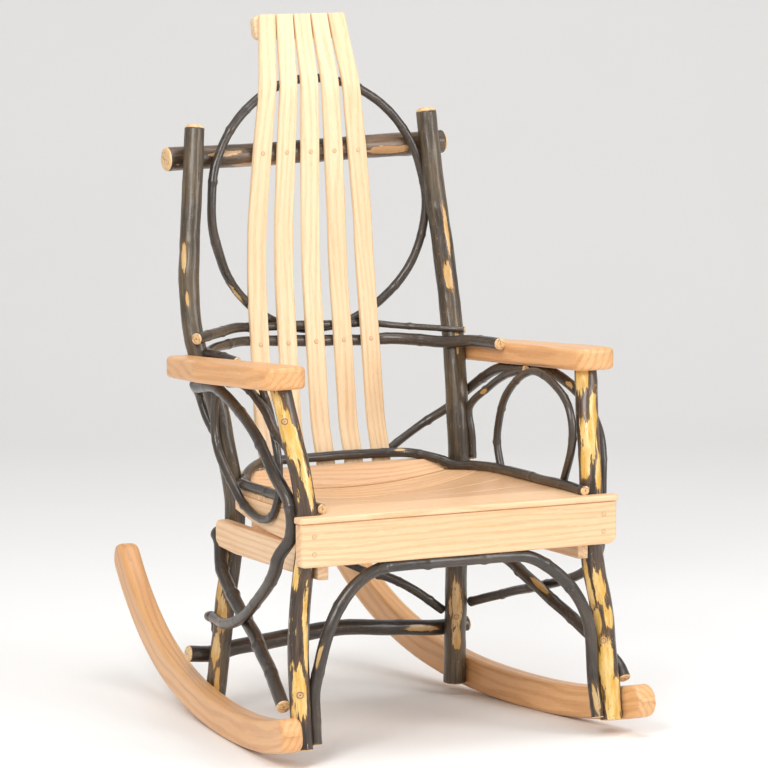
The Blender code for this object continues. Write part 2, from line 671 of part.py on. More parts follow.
add("upper_twig", Log([
    on(RL, zt + 0.001, -0.2, -1, r * 1.35) + Vector((-0.006, -0.010, 0)),
    on(RL, zt + 0.002, 0.25, -1, r * 1.3),
    Vector((slat_x(0, zt) - 0.042, slat_y(zt) + slat_back - 0.002, zt + 0.004)),
    Vector((slat_x(0, zt) - 0.014, slat_y(zt) + slat_back + r * 1.1, zt + 0.003)),
    Vector((slat_x(2, zt), slat_y(zt) + slat_back + r, zt + 0.001)),
    Vector((slat_x(4, zt) + 0.012, slat_y(zt) + slat_back + r * 0.8, zt - 0.003)),
    Vector((slat_x(4, zt) + 0.046, slat_y(zt) - 0.008, zt - 0.006)),
    on(RR, zt - 0.009, -0.25, -1, r * 0.75),
    on(RR, zt - 0.010, 0.2, -1, r * 0.75) + Vector((0.004, -0.008, 0))],
    [r * 1.35, r * 1.3, r * 1.2, r * 1.1, r, r * 0.85, r * 0.78, r * 0.75, r * 0.75], 22), "bark")

r = BACK_HOOP_R
hoop_r, hoop_z, hoop_h = fx(0.199), fz(0.832), fz(0.210)
points = []
for k in range(16):
    a = 2 * math.pi * k / 16
    x, z = fx(0.009) + hoop_r * math.cos(a), hoop_z + hoop_h * math.sin(a)
    on_bar = BAR_Y - CROSSBAR_R - r + BITE
    up = (z - BAR_Z) / (hoop_z + hoop_h - BAR_Z)
    down = (BAR_Z - z) / (BAR_Z - hoop_z + hoop_h)
    if up > 0:
        y = on_bar + (slat_y(z) + slat_back + r - on_bar) * up
    else:
        low_y = slat_y(zt) + slat_back + 2 * TWIG_R + r - 0.001
        y = on_bar + (low_y - on_bar) * down ** 2 - 0.014 * math.sin(math.pi * down)
    points.append(Vector((x, y, z)))
add("back_hoop", Log(points, [r * 0.9, r, r, r, r, r, r, r, r, r * 1.05, r, r, r, r, r, r * 0.95], 32,
                     closed=True), "bark")

# ---- seat hoop and front arch --------------------------------------------------------
r = SEAT_HOOP_R
points = []
in_l = RL.at(RAIL_Z1)[0].x + RL.at(RAIL_Z1)[1] + r - BITE
in_r = -in_l
yb = slat_y(RAIL_Z1 + 0.03) - SLAT_T / 2 - r + 0.0005
py = RL.at(RAIL_Z1)[0].y
side_l, side_r = -SEAT_HALF + 0.002, SEAT_HALF - 0.002
for x, y in ((side_l, RAIL_Y0 + 0.030), (side_l, fy(-0.10)), (side_l + 0.001, fy(0.0)),
             (side_l + 0.004, fy(0.080)), (side_l + 0.019, py - 0.056), (in_l - 0.012, py - 0.028),
             (in_l + 0.006, py), (in_l + 0.052, yb - 0.008), (in_l * 0.35, yb), (0.0, yb + 0.001),
             (in_r * 0.40, yb), (in_r - 0.045, yb - 0.008), (in_r - 0.004, py - 0.002),
             (in_r + 0.016, py - 0.032), (side_r - 0.014, py - 0.062), (side_r - 0.003, fy(0.075)),
             (side_r - 0.001, fy(0.0)), (side_r, fy(-0.10)), (side_r + 0.001, RAIL_Y0 + 0.014)):
    points.append(Vector((x, y, seat_top(x, min(y, SEAT_BACK)) + r - 0.0008)))
add("seat_hoop", Log(points, r, 26), "bark")

r = ARCH_R
ya = (RAIL_Y0 + RAIL_Y1) / 2 + 0.001
zc = RAIL_Z0 - r + BITE
add("front_arch", Log([
    on(FL, fz(0.033), 1, 0.1, r), on(FL, fz(0.105), 1, 0, r), Vector((fx(-0.243), ya + 0.004, fz(0.155))),
    Vector((fx(-0.230), ya, fz(0.207))), Vector((fx(-0.209), ya, fz(0.251))),
    Vector((fx(-0.178), ya, zc - fz(0.022))), Vector((fx(-0.140), ya, zc - 0.002)),
    Vector((fx(-0.099), ya, zc)), Vector((fx(0.0), ya, zc)), Vector((fx(0.085), ya, zc)),
    Vector((fx(0.124), ya, zc - 0.003)),
    Vector((fx(0.160), ya, zc - fz(0.020))), Vector((fx(0.200), ya, fz(0.254))),
    Vector((fx(0.228), ya, fz(0.215))), Vector((fx(0.243), ya + 0.004, fz(0.172))),
    on(FR, fz(0.110), -1, 0, r), on(FR, fz(0.033), -1, -0.1, r)],
    [r] * 14 + [r, r, r * 1.05], 28), "bark")

# ---- bent branches of the sides ------------------------------------------------------
r = SIDE_HOOP_R


def under_arm(x, y, r, drop=0.0):
    return Vector((x, y, arm_under(y) - r + 0.0008 - drop))


add("side_hoop_left", Log([
    on(RL, fz(0.452), 0.25, 1, r), on(RL, fz(0.490), -0.15, 1, r) + Vector((0, 0.016, 0)),
    Vector((RL.at(fz(0.53))[0].x - 0.006, behind(RL, fz(0.53), r) + 0.022, fz(0.532))),
    Vector((RL.at(fz(0.545))[0].x - 0.021, behind(RL, fz(0.545), r) - 0.004, fz(0.551))),
    on(RL, fz(0.549), -1, -0.1, r), under_arm(fx(-0.266), fy(0.115), r, 0.004),
    P(-0.271, 0.030, 0.540), P(-0.276, -0.045, 0.512), P(-0.281, -0.100, 0.482),
    P(-0.282, -0.142, 0.450), on(FL, fz(0.410), -1, 0.75, r * 1.1), on(FL, fz(0.360), -1, 0.80, r * 1.1),
    P(-0.283, -0.155, 0.322), P(-0.282, -0.140, 0.296), P(-0.280, -0.102, 0.264), P(-0.275, -0.034, 0.220),
    P(-0.269, 0.016, 0.195), P(-0.260, 0.092, 0.175), on(RL, fz(0.168), -1, -0.4, r),
    on(RL, fz(0.166), -1, 0.7, r), on(RL, fz(0.156), -0.15, 1, r), on(RL, fz(0.136), 0.1, 1, r)],
    [r * k for k in [0.9] * 4 + [1] * 5 + [1.15] * 5 + [1.05, 1, 1, 0.95, 0.9, 0.9, 0.9, 0.85]],
    44), "bark")
add("side_hoop_right", Log([
    Vector((slat_x(4, fz(0.41)) + 0.010, slat_y(fz(0.410)) + slat_back + r * 0.8, fz(0.410))),
    P(0.180, 0.250, 0.458), on(RR, fz(0.489), 0.1, 1, r * 0.9), on(RR, fz(0.515), 1, 0.35, r),
    under_arm(fx(0.262), fy(0.130), r, 0.004), under_arm(fx(0.268), fy(0.035), r),
    under_arm(fx(0.273), fy(-0.035), r, 0.003), P(0.280, -0.095, 0.553), P(0.285, -0.140, 0.522),
    on(FR, fz(0.475), 1, 0.05, r * 0.8), on(FR, fz(0.410), 1, 0.1, r * 0.8),
    on(FR, fz(0.350), 1, 0.3, r * 0.8), P(0.291, -0.165, 0.292), P(0.288, -0.128, 0.256),
    P(0.283, -0.070, 0.231), P(0.277, 0.010, 0.208), P(0.265, 0.100, 0.186), on(RR, fz(0.158), 1, -0.6, r)],
    [r * 0.8] * 2 + [r * 0.9] * 2 + [r] * 4 + [r * 0.9] * 2 + [r * 0.8] * 3 + [r * 0.9] * 5, 42), "bark")

r = BRACE_R
add("side_brace_left", Log([
    on(RL, fz(0.303), 0.15, 1, r), on(RL, fz(0.306), -1, 0.9, r), on(RL, fz(0.290), -1, -0.2, r),
    P(-0.236, 0.158, 0.254), P(-0.242, 0.105, 0.220), P(-0.247, 0.058, 0.198), P(-0.256, 0.002, 0.182),
    P(-0.269, -0.056, 0.161), P(-0.285, -0.132, 0.130), on(FL, fz(0.094), -1, 0.50, r)],
    [r * 0.95] * 4 + [r] * 6, 28), "bark")
add("side_brace_right", Log([
    on(RR, fz(0.303), -0.15, 1, r * 0.9), on(RR, fz(0.305), 1, 0.9, r * 0.9),
    on(RR, fz(0.290), 1, -0.2, r * 0.9),
    P(0.243, 0.125, 0.262), P(0.250, 0.056, 0.243), P(0.255, -0.009, 0.218), P(0.265, -0.060, 0.195),
    P(0.286, -0.130, 0.155), on(FR, fz(0.112), 1, 0.30, r * 0.9), on(FR, fz(0.092), 1, -0.35, r * 0.9)],
    r * 0.9, 28), "bark")
r = RING_R
add("rear_brace", Log([
    on(RR, fz(0.142), -0.9, 1, r), P(0.150, 0.222, 0.180), P(0.105, 0.221, 0.204), P(0.066, 0.220, 0.217),
    P(0.0, 0.219, 0.248), P(-0.070, 0.219, 0.288),
    Vector((fx(-0.120), BACK_Y + BACK_RAIL_T / 2, RAIL_Z0 + 0.018 - r + BITE))],
    [r * 1.2] * 3 + [r] * 4, 18), "bark")


RING_X = SEAT_HALF + RING_R - BITE       # against the seat boards' ends


def ringed(s, y, z):
    return Vector((s * RING_X, fy(y), z))


foot = SIDE_TOP + 0.022
add("arm_ring_right", Log([
    ringed(1, 0.055, foot), ringed(1, 0.074, fz(0.400)), ringed(1, 0.088, fz(0.450)),
    ringed(1, 0.070, fz(0.510)), ringed(1, 0.025, fz(0.552)),
    under_arm(RING_X, fy(-0.035), r), ringed(1, -0.105, fz(0.562)), ringed(1, -0.155, fz(0.528)),
    ringed(1, -0.168, fz(0.475)), ringed(1, -0.142, fz(0.410)), ringed(1, -0.110, foot)], r, 26), "bark")
add("arm_ring_left", Log([
    under_arm(-RING_X, fy(0.170), r), ringed(-1, 0.180, fz(0.500)),
    ringed(-1, 0.165, fz(0.450)), ringed(-1, 0.115, fz(0.405)), ringed(-1, 0.052, foot + 0.012),
    ringed(-1, 0.004, foot + 0.004), ringed(-1, -0.040, foot + 0.014), ringed(-1, -0.060, fz(0.400)),
    ringed(-1, -0.062, fz(0.455)), ringed(-1, -0.040, fz(0.515)),
    under_arm(-RING_X, fy(0.000), r)], [r * 1.1] * 5 + [r] * 6, 26), "bark")
add("arm_arc_right", Log([
    under_arm(RING_X + 0.008, fy(0.005), r), P(0.245, 0.075, 0.556), P(0.243, 0.130, 0.530),
    on(RR, fz(0.490), 0.7, -1, r), on(RR, fz(0.450), 0.85, -0.8, r), on(RR, fz(0.405), 0.9, -0.6, r)],
    r, 16), "bark")
add("arm_arc_left", Log([
    under_arm(-RING_X - 0.010, fy(0.105), r), under_arm(-RING_X - 0.010, fy(0.050), r),
    P(-0.250, -0.038, 0.541), P(-0.254, -0.089, 0.507), on(FL, fz(0.478), 0.25, 1, r),
    on(FL, fz(0.455), 0.3, 1, r)], [r, r, r * 1.2, r * 1.2, r * 1.1, r], 16), "bark")

# ---- origin: centre of the footprint, on the floor -------------------------------------
every = [v.co for item in MADE for v in item[2].data.vertices]
low = [min(c[k] for c in every) for k in range(3)]
high = [max(c[k] for c in every) for k in range(3)]
shift = Vector(((low[0] + high[0]) / 2, (low[1] + high[1]) / 2, low[2]))
for _, _, obj, _, _ in MADE:
    for v in obj.data.vertices:
        v.co -= shift
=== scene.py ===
"""Looks of the rustic rocking chair: bark-on logs, bent branches and oiled oak boards.

Every visible piece is rebuilt finely round the line or outline of its CAD node and takes
that node's place. Metres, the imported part's frame: +Z up, -Y the chair's front.
"""
import math

import bpy
import numpy as np
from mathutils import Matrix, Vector


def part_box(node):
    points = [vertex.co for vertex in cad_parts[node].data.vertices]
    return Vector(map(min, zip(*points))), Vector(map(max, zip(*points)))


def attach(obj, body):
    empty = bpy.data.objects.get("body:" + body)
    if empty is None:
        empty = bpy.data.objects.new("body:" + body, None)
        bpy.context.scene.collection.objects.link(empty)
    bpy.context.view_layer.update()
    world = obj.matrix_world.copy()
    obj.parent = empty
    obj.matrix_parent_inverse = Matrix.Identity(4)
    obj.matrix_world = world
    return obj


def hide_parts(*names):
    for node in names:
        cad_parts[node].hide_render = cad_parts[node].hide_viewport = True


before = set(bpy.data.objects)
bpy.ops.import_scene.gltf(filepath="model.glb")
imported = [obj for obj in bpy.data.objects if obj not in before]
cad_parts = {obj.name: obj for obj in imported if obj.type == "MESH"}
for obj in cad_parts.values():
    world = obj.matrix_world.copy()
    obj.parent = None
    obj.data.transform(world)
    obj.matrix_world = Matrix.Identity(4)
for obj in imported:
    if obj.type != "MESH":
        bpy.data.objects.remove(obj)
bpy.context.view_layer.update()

# ---- the chair's lines: the same values as the part ------------------------------------
WIDTH = 0.566          # front rail, end to end
HEIGHT = 1.148         # floor to the top of the back slats

# ---- logs and branches (radii) -------------------------------------------------------
LEG_R = 0.0175         # front legs and rear posts
CROSSBAR_R = 0.0195
STRETCHER_R = 0.0135
BACK_HOOP_R = 0.0075
ARM_HOOP_R = 0.0095
TWIG_R = 0.0070
SEAT_HOOP_R = 0.0080
ARCH_R = 0.0100
SIDE_HOOP_R = 0.0090
BRACE_R = 0.0110
RING_R = 0.0065

# ---- boards --------------------------------------------------------------------------
RAIL_T, RAIL_H = 0.020, 0.070          # front rail
SIDE_RAIL_T, SIDE_RAIL_H = 0.019, 0.048
SEAT_T = 0.010                         # seat boards
SEAT_SLATS = 6
SLAT_T, SLAT_W = 0.009, 0.0335         # back slats
BACK_SLATS = 5
ARM_T = 0.036
ROCKER_T, ROCKER_H = 0.036, 0.054
ROCKER_A, ROCKER_B = 0.285, 0.70       # running edge: height = A u^2 + B u^4
ROCKER_MID_Y = 0.034                   # where the running edge meets the floor
ROCKER_FRONT, ROCKER_REAR = -0.285, 0.640

# ---- heights -------------------------------------------------------------------------
RAIL_TOP = 0.385       # top of the front rail, under the seat
ARM_Z = 0.588          # underside of the arm over the front leg
ARM_SLOPE = 0.062      # the arm drops towards the back

GAP = 0.0003           # left between pieces that touch
BITE = 0.0015          # how far a branch is let into what it is nailed to


def P(x, y, z):
    """A control point, in the layout's own frame."""
    return Vector((x, y, z))


# ---- curves --------------------------------------------------------------------------
def spline(points, count, closed=False):
    """Points at even spacing on a smooth curve through the control points."""
    pts = [Vector(p) for p in points]
    n = len(pts)
    get = (lambda i: pts[i % n]) if closed else (lambda i: pts[min(max(i, 0), n - 1)])
    fine, knots = [], []
    for i in range(n if closed else n - 1):
        a, b, c, d = get(i - 1), get(i), get(i + 1), get(i + 2)
        t1 = max((b - a).length, 1e-4) ** 0.5
        t2 = max((c - b).length, 1e-4) ** 0.5
        t3 = max((d - c).length, 1e-4) ** 0.5
        m1 = (c - b) + ((b - a) / t1 - (c - a) / (t1 + t2)) * t2 if (b - a).length > 1e-6 else c - b
        m2 = (c - b) + ((d - c) / t3 - (d - b) / (t2 + t3)) * t2 if (d - c).length > 1e-6 else c - b
        for k in range(12):
            u = k / 12
            fine.append(b * (2 * u ** 3 - 3 * u ** 2 + 1) + m1 * (u ** 3 - 2 * u ** 2 + u)
                        + c * (3 * u ** 2 - 2 * u ** 3) + m2 * (u ** 3 - u ** 2))
            knots.append(i + u)
    fine.append(get(0) if closed else pts[-1])
    knots.append(n if closed else n - 1)
    run = [0.0]
    for a, b in zip(fine, fine[1:]):
        run.append(run[-1] + (b - a).length)
    where = np.linspace(0, run[-1], count + 1)[:-1] if closed else np.linspace(0, run[-1], count)
    xyz = [np.interp(where, run, [p[k] for p in fine]) for k in range(3)]
    return [Vector(p) for p in zip(*xyz)], np.interp(where, run, knots)


class Log:
    """A round log or branch: a centreline with a radius at every control point."""

    def __init__(self, points, radii, rings=16, closed=False, dome=0.0):
        self.points, self.closed, self.dome = points, closed, dome
        self.path, knots = spline(points, rings, closed)
        if not isinstance(radii, (list, tuple)):
            radii = [radii] * len(points)
        self.radii = radii
        self.radius = [float(np.interp(k, range(len(radii)), radii)) for k in knots]

    def at(self, z):
        """Centre and radius of an upright log at a height."""
        zs = [p.z for p in self.path]
        order = sorted(range(len(zs)), key=lambda i: zs[i])
        cols = [[self.path[i][k] for i in order] for k in range(2)]
        zs = [zs[i] for i in order]
        x, y = (float(np.interp(z, zs, c)) for c in cols)
        return Vector((x, y, z)), float(np.interp(z, zs, [self.radius[i] for i in order]))


def on(log, z, ax, ay, r):
    """Centre of a branch of radius r let into an upright log at height z, on one side."""
    c, big = log.at(z)
    n = Vector((ax, ay, 0)).normalized()
    return c + n * (big + r - BITE)


# ---- boards --------------------------------------------------------------------------
class Board:
    """A flat outline, the two levels of its faces, and how it is put in place."""

    def __init__(self, outline, low, high, place):
        self.outline, self.low, self.high, self.place = outline, low, high, place


class Strip:
    """A bent board: its thickness and a list of (centre, half-width vector, unit normal)."""

    def __init__(self, stations, thick):
        self.stations, self.thick = stations, thick


def fillet(points, radius, steps=3):
    """Outline with its corners rounded."""
    pts, out = [Vector(p) for p in points], []
    n = len(pts)
    for i, p in enumerate(pts):
        r = radius[i] if isinstance(radius, (list, tuple)) else radius
        if not r:
            out.append(p)
            continue
        a, b = (pts[i - 1] - p), (pts[(i + 1) % n] - p)
        half = a.angle(b) / 2
        cut = min(r / math.tan(half), 0.45 * a.length, 0.45 * b.length)
        r = cut * math.tan(half)
        centre = p + (a.normalized() + b.normalized()).normalized() * (r / math.sin(half))
        s, e = p + a.normalized() * cut - centre, p + b.normalized() * cut - centre
        a0 = math.atan2(s.y, s.x)
        turn = (math.atan2(e.y, e.x) - a0 + math.pi) % (2 * math.pi) - math.pi
        out += [centre + Vector((math.cos(a0 + turn * k / steps), math.sin(a0 + turn * k / steps))) * r
                for k in range(steps + 1)]
    return out


SHAPES = {}


def add(name, shape):
    """Keep a piece's shape for the fine model."""
    SHAPES[name] = shape


# ---- upright logs: their centrelines place everything else ----------------------------
def arm_under(y):
    return ARM_Z - ARM_SLOPE * (y + 0.146)


def front_leg(s, r):
    pts = [P(s * x, y, z) for x, y, z in (
        (0.278, -0.230, 0.027), (0.277, -0.219, 0.100), (0.273, -0.205, 0.200), (0.259, -0.195, 0.300),
        (0.255, -0.200, 0.380), (0.259, -0.188, 0.450), (0.266, -0.165, 0.520))]
    top = P(s * 0.274, -0.146, 0.588)
    top.z = arm_under(top.y) - GAP
    return Log(pts + [top], r, 18)


FL = front_leg(-1, LEG_R * 0.95)
FR = front_leg(1, LEG_R * 1.05)
RL = Log([P(*p) for p in (
    (-0.229, 0.205, 0.024), (-0.217, 0.202, 0.128), (-0.211, 0.199, 0.195), (-0.201, 0.195, 0.261),
    (-0.199, 0.188, 0.362), (-0.212, 0.193, 0.445), (-0.223, 0.207, 0.527), (-0.247, 0.228, 0.608),
    (-0.250, 0.247, 0.673), (-0.244, 0.262, 0.754), (-0.231, 0.280, 0.850), (-0.215, 0.302, 0.966))],
    LEG_R * 0.95, 22, dome=0.006)
RR = Log([P(*p) for p in (
    (0.219, 0.205, 0.020), (0.219, 0.202, 0.127), (0.219, 0.198, 0.213), (0.219, 0.190, 0.330),
    (0.219, 0.192, 0.435), (0.221, 0.203, 0.501), (0.226, 0.224, 0.592), (0.228, 0.245, 0.666),
    (0.225, 0.261, 0.749), (0.218, 0.283, 0.866), (0.215, 0.304, 0.980))],
    [LEG_R * 1.05] * 9 + [LEG_R, LEG_R * 0.97], 20, dome=0.007)
LEGS = {-1: (FL, RL), 1: (FR, RR)}

# ---- arms ----------------------------------------------------------------------------


def arm(s):
    front, rear = LEGS[s]
    leg, r_leg = front.at(0.58)
    post, r_post = rear.at(0.585)
    back_y, front_y = post.y + 0.022, leg.y - 0.036
    inner_back = abs(post.x) + r_post - BITE
    inner_front = abs(leg.x) - r_leg - 0.014
    outline = [(inner_back, back_y), (inner_back + 0.002, post.y - 0.06),
               (inner_front + 0.003, leg.y + 0.05), (inner_front, front_y),
               (inner_front + 0.070, front_y), (inner_front + 0.078, leg.y + 0.04),
               (inner_back + 0.064, post.y - 0.14), (inner_back + 0.042, back_y)]
    outline = [Vector((s * x, y)) for x, y in outline]
    outline = fillet(outline, [0.006, 0.05, 0.05, 0.016, 0.018, 0.05, 0.05, 0.012], 2)
    if s < 0:
        outline = outline[::-1]
    return Board(outline, 0, ARM_T, lambda x, y, h: Vector((x, y, arm_under(y) + h)))


add("arm_left", arm(-1))
add("arm_right", arm(1))

# ---- seat frame ----------------------------------------------------------------------
RAIL_Z1 = RAIL_TOP
RAIL_Z0 = RAIL_Z1 - RAIL_H
LEG_MID_Z = RAIL_Z1 - RAIL_H / 2
RAIL_Y1 = min(leg.at(LEG_MID_Z)[0].y - leg.at(LEG_MID_Z)[1] for leg in (FL, FR)) + BITE
RAIL_Y0 = RAIL_Y1 - RAIL_T
BACK_Y = max(leg.at(RAIL_Z1)[0].y + leg.at(RAIL_Z1)[1] for leg in (RL, RR)) - BITE
BACK_RAIL_T = 0.026
SEAT_BACK = BACK_Y - 0.004


def seat_top(x, y):
    """Height of the seat's upper face: scooped out towards the back, where it rolls up."""
    ys = list((-0.144, -0.072, 0.021, 0.075, 0.119, 0.145, 0.168)) + [SEAT_BACK]
    deep = (0.001, 0.008, 0.018, 0.026, 0.033, 0.031, 0.022, -0.012)
    side = (0.0, 0.0, 0.0, 0.0, 0.0, -0.002, -0.006, -0.012)
    centre, edge = float(np.interp(y, ys, deep)), float(np.interp(y, ys, side))
    spread = min(abs(x) / (WIDTH * 0.405), 1.0) ** 2.1
    return RAIL_Z1 + SEAT_T - centre - (edge - centre) * spread


def board_xz(outline, y0, y1):
    """A board whose outline stands across the chair."""
    return Board(outline, y0, y1, lambda u, v, h: Vector((u, h, v)))


half = WIDTH / 2
add("front_rail", board_xz(fillet([(-half, RAIL_Z0), (half, RAIL_Z0), (half, RAIL_Z1 - 0.0005),
                                   (-half, RAIL_Z1 - 0.0005)], [0.008, 0.014, 0, 0]),
                           RAIL_Y0, RAIL_Y1))


def leg_edge(log, z, s, sign):
    c, r = log.at(z)
    return c.x * s + sign * r


def side_board(s, x_front, x_rear, y_front, y_rear, thick, outline):
    """A board on edge between two points in plan; its inner face passes through them."""
    a, b = Vector((s * x_front, y_front)), Vector((s * x_rear, y_rear))
    run = (b - a).normalized()
    out = Vector((run.y, -run.x)) * s

    def place(u, v, h):
        p = a + run * u + out * h
        return Vector((p.x, p.y, v))
    return Board(outline((b - a).length), 0, thick, place)


SIDE_TOP = RAIL_Z1 - 0.052
CLEAT_T = 0.019
SEAT_HALF = min(abs(leg.at(RAIL_Z1)[0].x) - leg.at(RAIL_Z1)[1] for leg in (FL, FR)) - 0.004
for s, label in ((-1, "left"), (1, "right")):
    front, rear = LEGS[s]
    zr = SIDE_TOP - SIDE_RAIL_H / 2
    x_rear = leg_edge(rear, zr, s, 1) - BITE
    x_front = leg_edge(front, zr, s, -1) - SIDE_RAIL_T + BITE
    rear_y = rear.at(zr)[0].y - 0.002

    def rail_outline(length):
        z0, z1 = SIDE_TOP - SIDE_RAIL_H, SIDE_TOP
        return fillet([(0, z0 + 0.006), (length * 0.8, z0), (length, z0 + 0.004), (length, z1), (0, z1)],
                      [0, 0, 0.014, 0.014, 0])
    add("side_rail_" + label, side_board(s, x_front, x_rear, RAIL_Y1 + GAP, rear_y, SIDE_RAIL_T,
                                         rail_outline))

    cleat_rear = 0.112

    def cleat_outline(length, x=SEAT_HALF):
        steps = 8
        ys = [RAIL_Y1 + GAP + length * k / steps for k in range(steps + 1)]
        top = [(y - RAIL_Y1 - GAP, seat_top(x, y) - SEAT_T - GAP - 0.0002) for y in ys]
        low = [(length * f, SIDE_TOP + GAP + 0.026 * f ** 3) for f in (0, 0.3, 0.5, 0.7, 0.85, 1)]
        return low + top[::-1]
    add("seat_cleat_" + label, side_board(s, SEAT_HALF - CLEAT_T, SEAT_HALF - CLEAT_T, RAIL_Y1 + GAP,
                                          cleat_rear, CLEAT_T, cleat_outline))

bar = SEAT_HALF - 0.012
cross_y = 0.058
cross_top = seat_top(0, cross_y + 0.019) - SEAT_T - 0.0015
add("seat_cross_rail", board_xz([(-bar, cross_top - 0.045), (bar, cross_top - 0.045),
                                 (bar, cross_top), (-bar, cross_top)],
                                cross_y, cross_y + 0.019))
left_x, right_x = RL.at(RAIL_Z1)[0].x + 0.005, RR.at(RAIL_Z1)[0].x - 0.003
add("back_rail", board_xz(fillet([(left_x, RAIL_Z0 + 0.018), (right_x, RAIL_Z0 + 0.018),
                                  (right_x, RAIL_Z1 + 0.018), (left_x, RAIL_Z1 + 0.018)], 0.006),
                          BACK_Y, BACK_Y + BACK_RAIL_T))

# ---- seat boards ---------------------------------------------------------------------
SEAMS = list((-0.144, -0.072, 0.021, 0.119, 0.168)) + [SEAT_BACK]     # between seat boards
SEAT_GAP = 0.0022


CLEAR = min(abs(leg.at(RAIL_Z1)[0].x) - leg.at(RAIL_Z1)[1] for leg in (RL, RR)) - 0.003


def seat_half(y):
    """Half width of the seat behind the front board; it narrows to pass between the posts."""
    ys = (0.085, 0.119, 0.145, 0.168, SEAT_BACK)
    xs = (SEAT_HALF, SEAT_HALF - 0.008, (SEAT_HALF + CLEAR) / 2 - 0.002, CLEAR + 0.001, CLEAR - 0.012)
    return float(np.interp(y, ys, xs))


def seat_board(y0, y1, stations=17):
    out = []
    for k in range(stations):
        t = 2 * k / (stations - 1) - 1
        x0, x1 = seat_half(y0) * t, seat_half(y1) * t
        a = Vector((x0, y0, seat_top(x0, y0) - SEAT_T / 2))
        b = Vector((x1, y1, seat_top(x1, y1) - SEAT_T / 2))
        x = (x0 + x1) / 2
        dx = Vector((1, 0, (seat_top(x + 0.001, (y0 + y1) / 2) - seat_top(x - 0.001, (y0 + y1) / 2)) / 0.002))
        side = (b - a) / 2
        out.append(((a + b) / 2, side, dx.cross(side).normalized()))
    return Strip(out, SEAT_T)


half, y0, y1 = WIDTH / 2 + 0.004, RAIL_Y0 - 0.004, SEAMS[0]
add("seat_slat_1", Board(fillet([(-half, y0), (half, y0), (half, RAIL_Y1 - 0.001),
                                 (SEAT_HALF, RAIL_Y1 - 0.001), (SEAT_HALF, y1), (-SEAT_HALF, y1),
                                 (-SEAT_HALF, RAIL_Y1 - 0.001), (-half, RAIL_Y1 - 0.001)],
                                [0.008, 0.008, 0.004, 0, 0.004, 0.004, 0, 0.004], 2),
                         RAIL_Z1, RAIL_Z1 + SEAT_T, lambda x, y, h: Vector((x, y, h))))
for i in range(1, SEAT_SLATS):
    add("seat_slat_%d" % (i + 1), seat_board(SEAMS[i - 1] + SEAT_GAP, SEAMS[i]))

# ---- back ----------------------------------------------------------------------------
BAR_Z = 0.920
BAR_Y = max(leg.at(BAR_Z)[0].y + leg.at(BAR_Z)[1] for leg in (RL, RR)) + CROSSBAR_R - BITE
FAN_X = -0.003                       # the fan of slats stands a little off centre
SLAT_FOOT = RAIL_Z1 - 0.035
TOP_Z = HEIGHT


def slat_y(z):
    """Centre of the back slats: nailed to the back rail, then S-curved over the crossbar."""
    at_bar = BAR_Y - CROSSBAR_R - SLAT_T / 2 + 0.0004
    foot = BACK_Y + BACK_RAIL_T + SLAT_T / 2
    zs = [SLAT_FOOT, RAIL_Z1 + 0.006, 0.430, 0.504, 0.588, 0.661, 0.720,
          0.788, BAR_Z, 1.030, 1.080, 1.121, TOP_Z]
    low = at_bar - foot
    ys = [foot, foot + 0.001] + [foot + low * f for f in (0.34, 0.52, 0.68, 0.83, 0.95, 0.985)]
    ys += [at_bar, at_bar + 0.001, at_bar + 0.013, at_bar + 0.026, at_bar + 0.031]
    return float(np.interp(z, zs, ys))


def slat_spread(z):
    zs = list((0.35, 0.44, 0.68, 0.80, 0.92, 1.03, 1.148))
    return float(np.interp(z, zs, list((0.0515, 0.0520, 0.0510, 0.049, 0.0440, 0.0385, 0.0318))))


def slat_half(z):
    return float(np.interp(z, [0.5, 0.92, 1.148], [SLAT_W / 2, SLAT_W / 2, SLAT_W / 2 * 0.90]))


def slat_x(i, z):
    return FAN_X + (i - (BACK_SLATS - 1) / 2) * slat_spread(z)


CREST_H, CREST_T = 0.040, 0.018
SLAT_STEPS = 14
slat_step = (TOP_Z - SLAT_FOOT) / SLAT_STEPS
slat_rise = (slat_y(TOP_Z) - slat_y(TOP_Z - slat_step)) / slat_step      # lean of the last stretch
tilt = math.atan(slat_rise)
crest_y = slat_y(TOP_Z) - slat_rise * CREST_H / 2 + (SLAT_T / 2 + GAP) / math.cos(tilt)
crest_half = 2 * slat_spread(TOP_Z) + SLAT_W / 2 + 0.006


def crest_place(u, v, h):
    return Vector((FAN_X + u, crest_y + h * math.cos(tilt) + v * math.sin(tilt),
                   TOP_Z - CREST_H / 2 + v * math.cos(tilt) - h * math.sin(tilt)))


add("crest_rail", Board(fillet([(-crest_half, -CREST_H / 2), (crest_half, -CREST_H / 2),
                                (crest_half, CREST_H / 2), (-crest_half, CREST_H / 2)], 0.010),
                        0, CREST_T, crest_place))
for i in range(BACK_SLATS):
    stations = []
    for k in range(SLAT_STEPS + 1):
        z = SLAT_FOOT + slat_step * k
        c = Vector((slat_x(i, z), slat_y(z), z))
        d = Vector((0, slat_y(z + 0.012) - slat_y(z - 0.012), 0.024)).normalized()
        if k >= SLAT_STEPS - 1:
            d = Vector((0, slat_rise, 1)).normalized()
        stations.append((c, Vector((slat_half(z), 0, 0)), Vector((0, -d.z, d.y))))
    add("back_slat_%d" % (i + 1), Strip(stations, SLAT_T))

# ---- logs ----------------------------------------------------------------------------
add("front_leg_left", FL)
add("front_leg_right", FR)
add("rear_post_left", RL)
add("rear_post_right", RR)
add("top_crossbar", Log([Vector((x, BAR_Y, BAR_Z + dz)) for x, dz in (
    (-0.253, -0.0055), (-0.08, -0.003), (0.09, 0.001), (0.256, 0.006))],
                        [CROSSBAR_R * 1.02, CROSSBAR_R * 0.98, CROSSBAR_R, CROSSBAR_R], 14))


def behind(leg, z, r):
    return on(leg, z, 0, 1, r).y


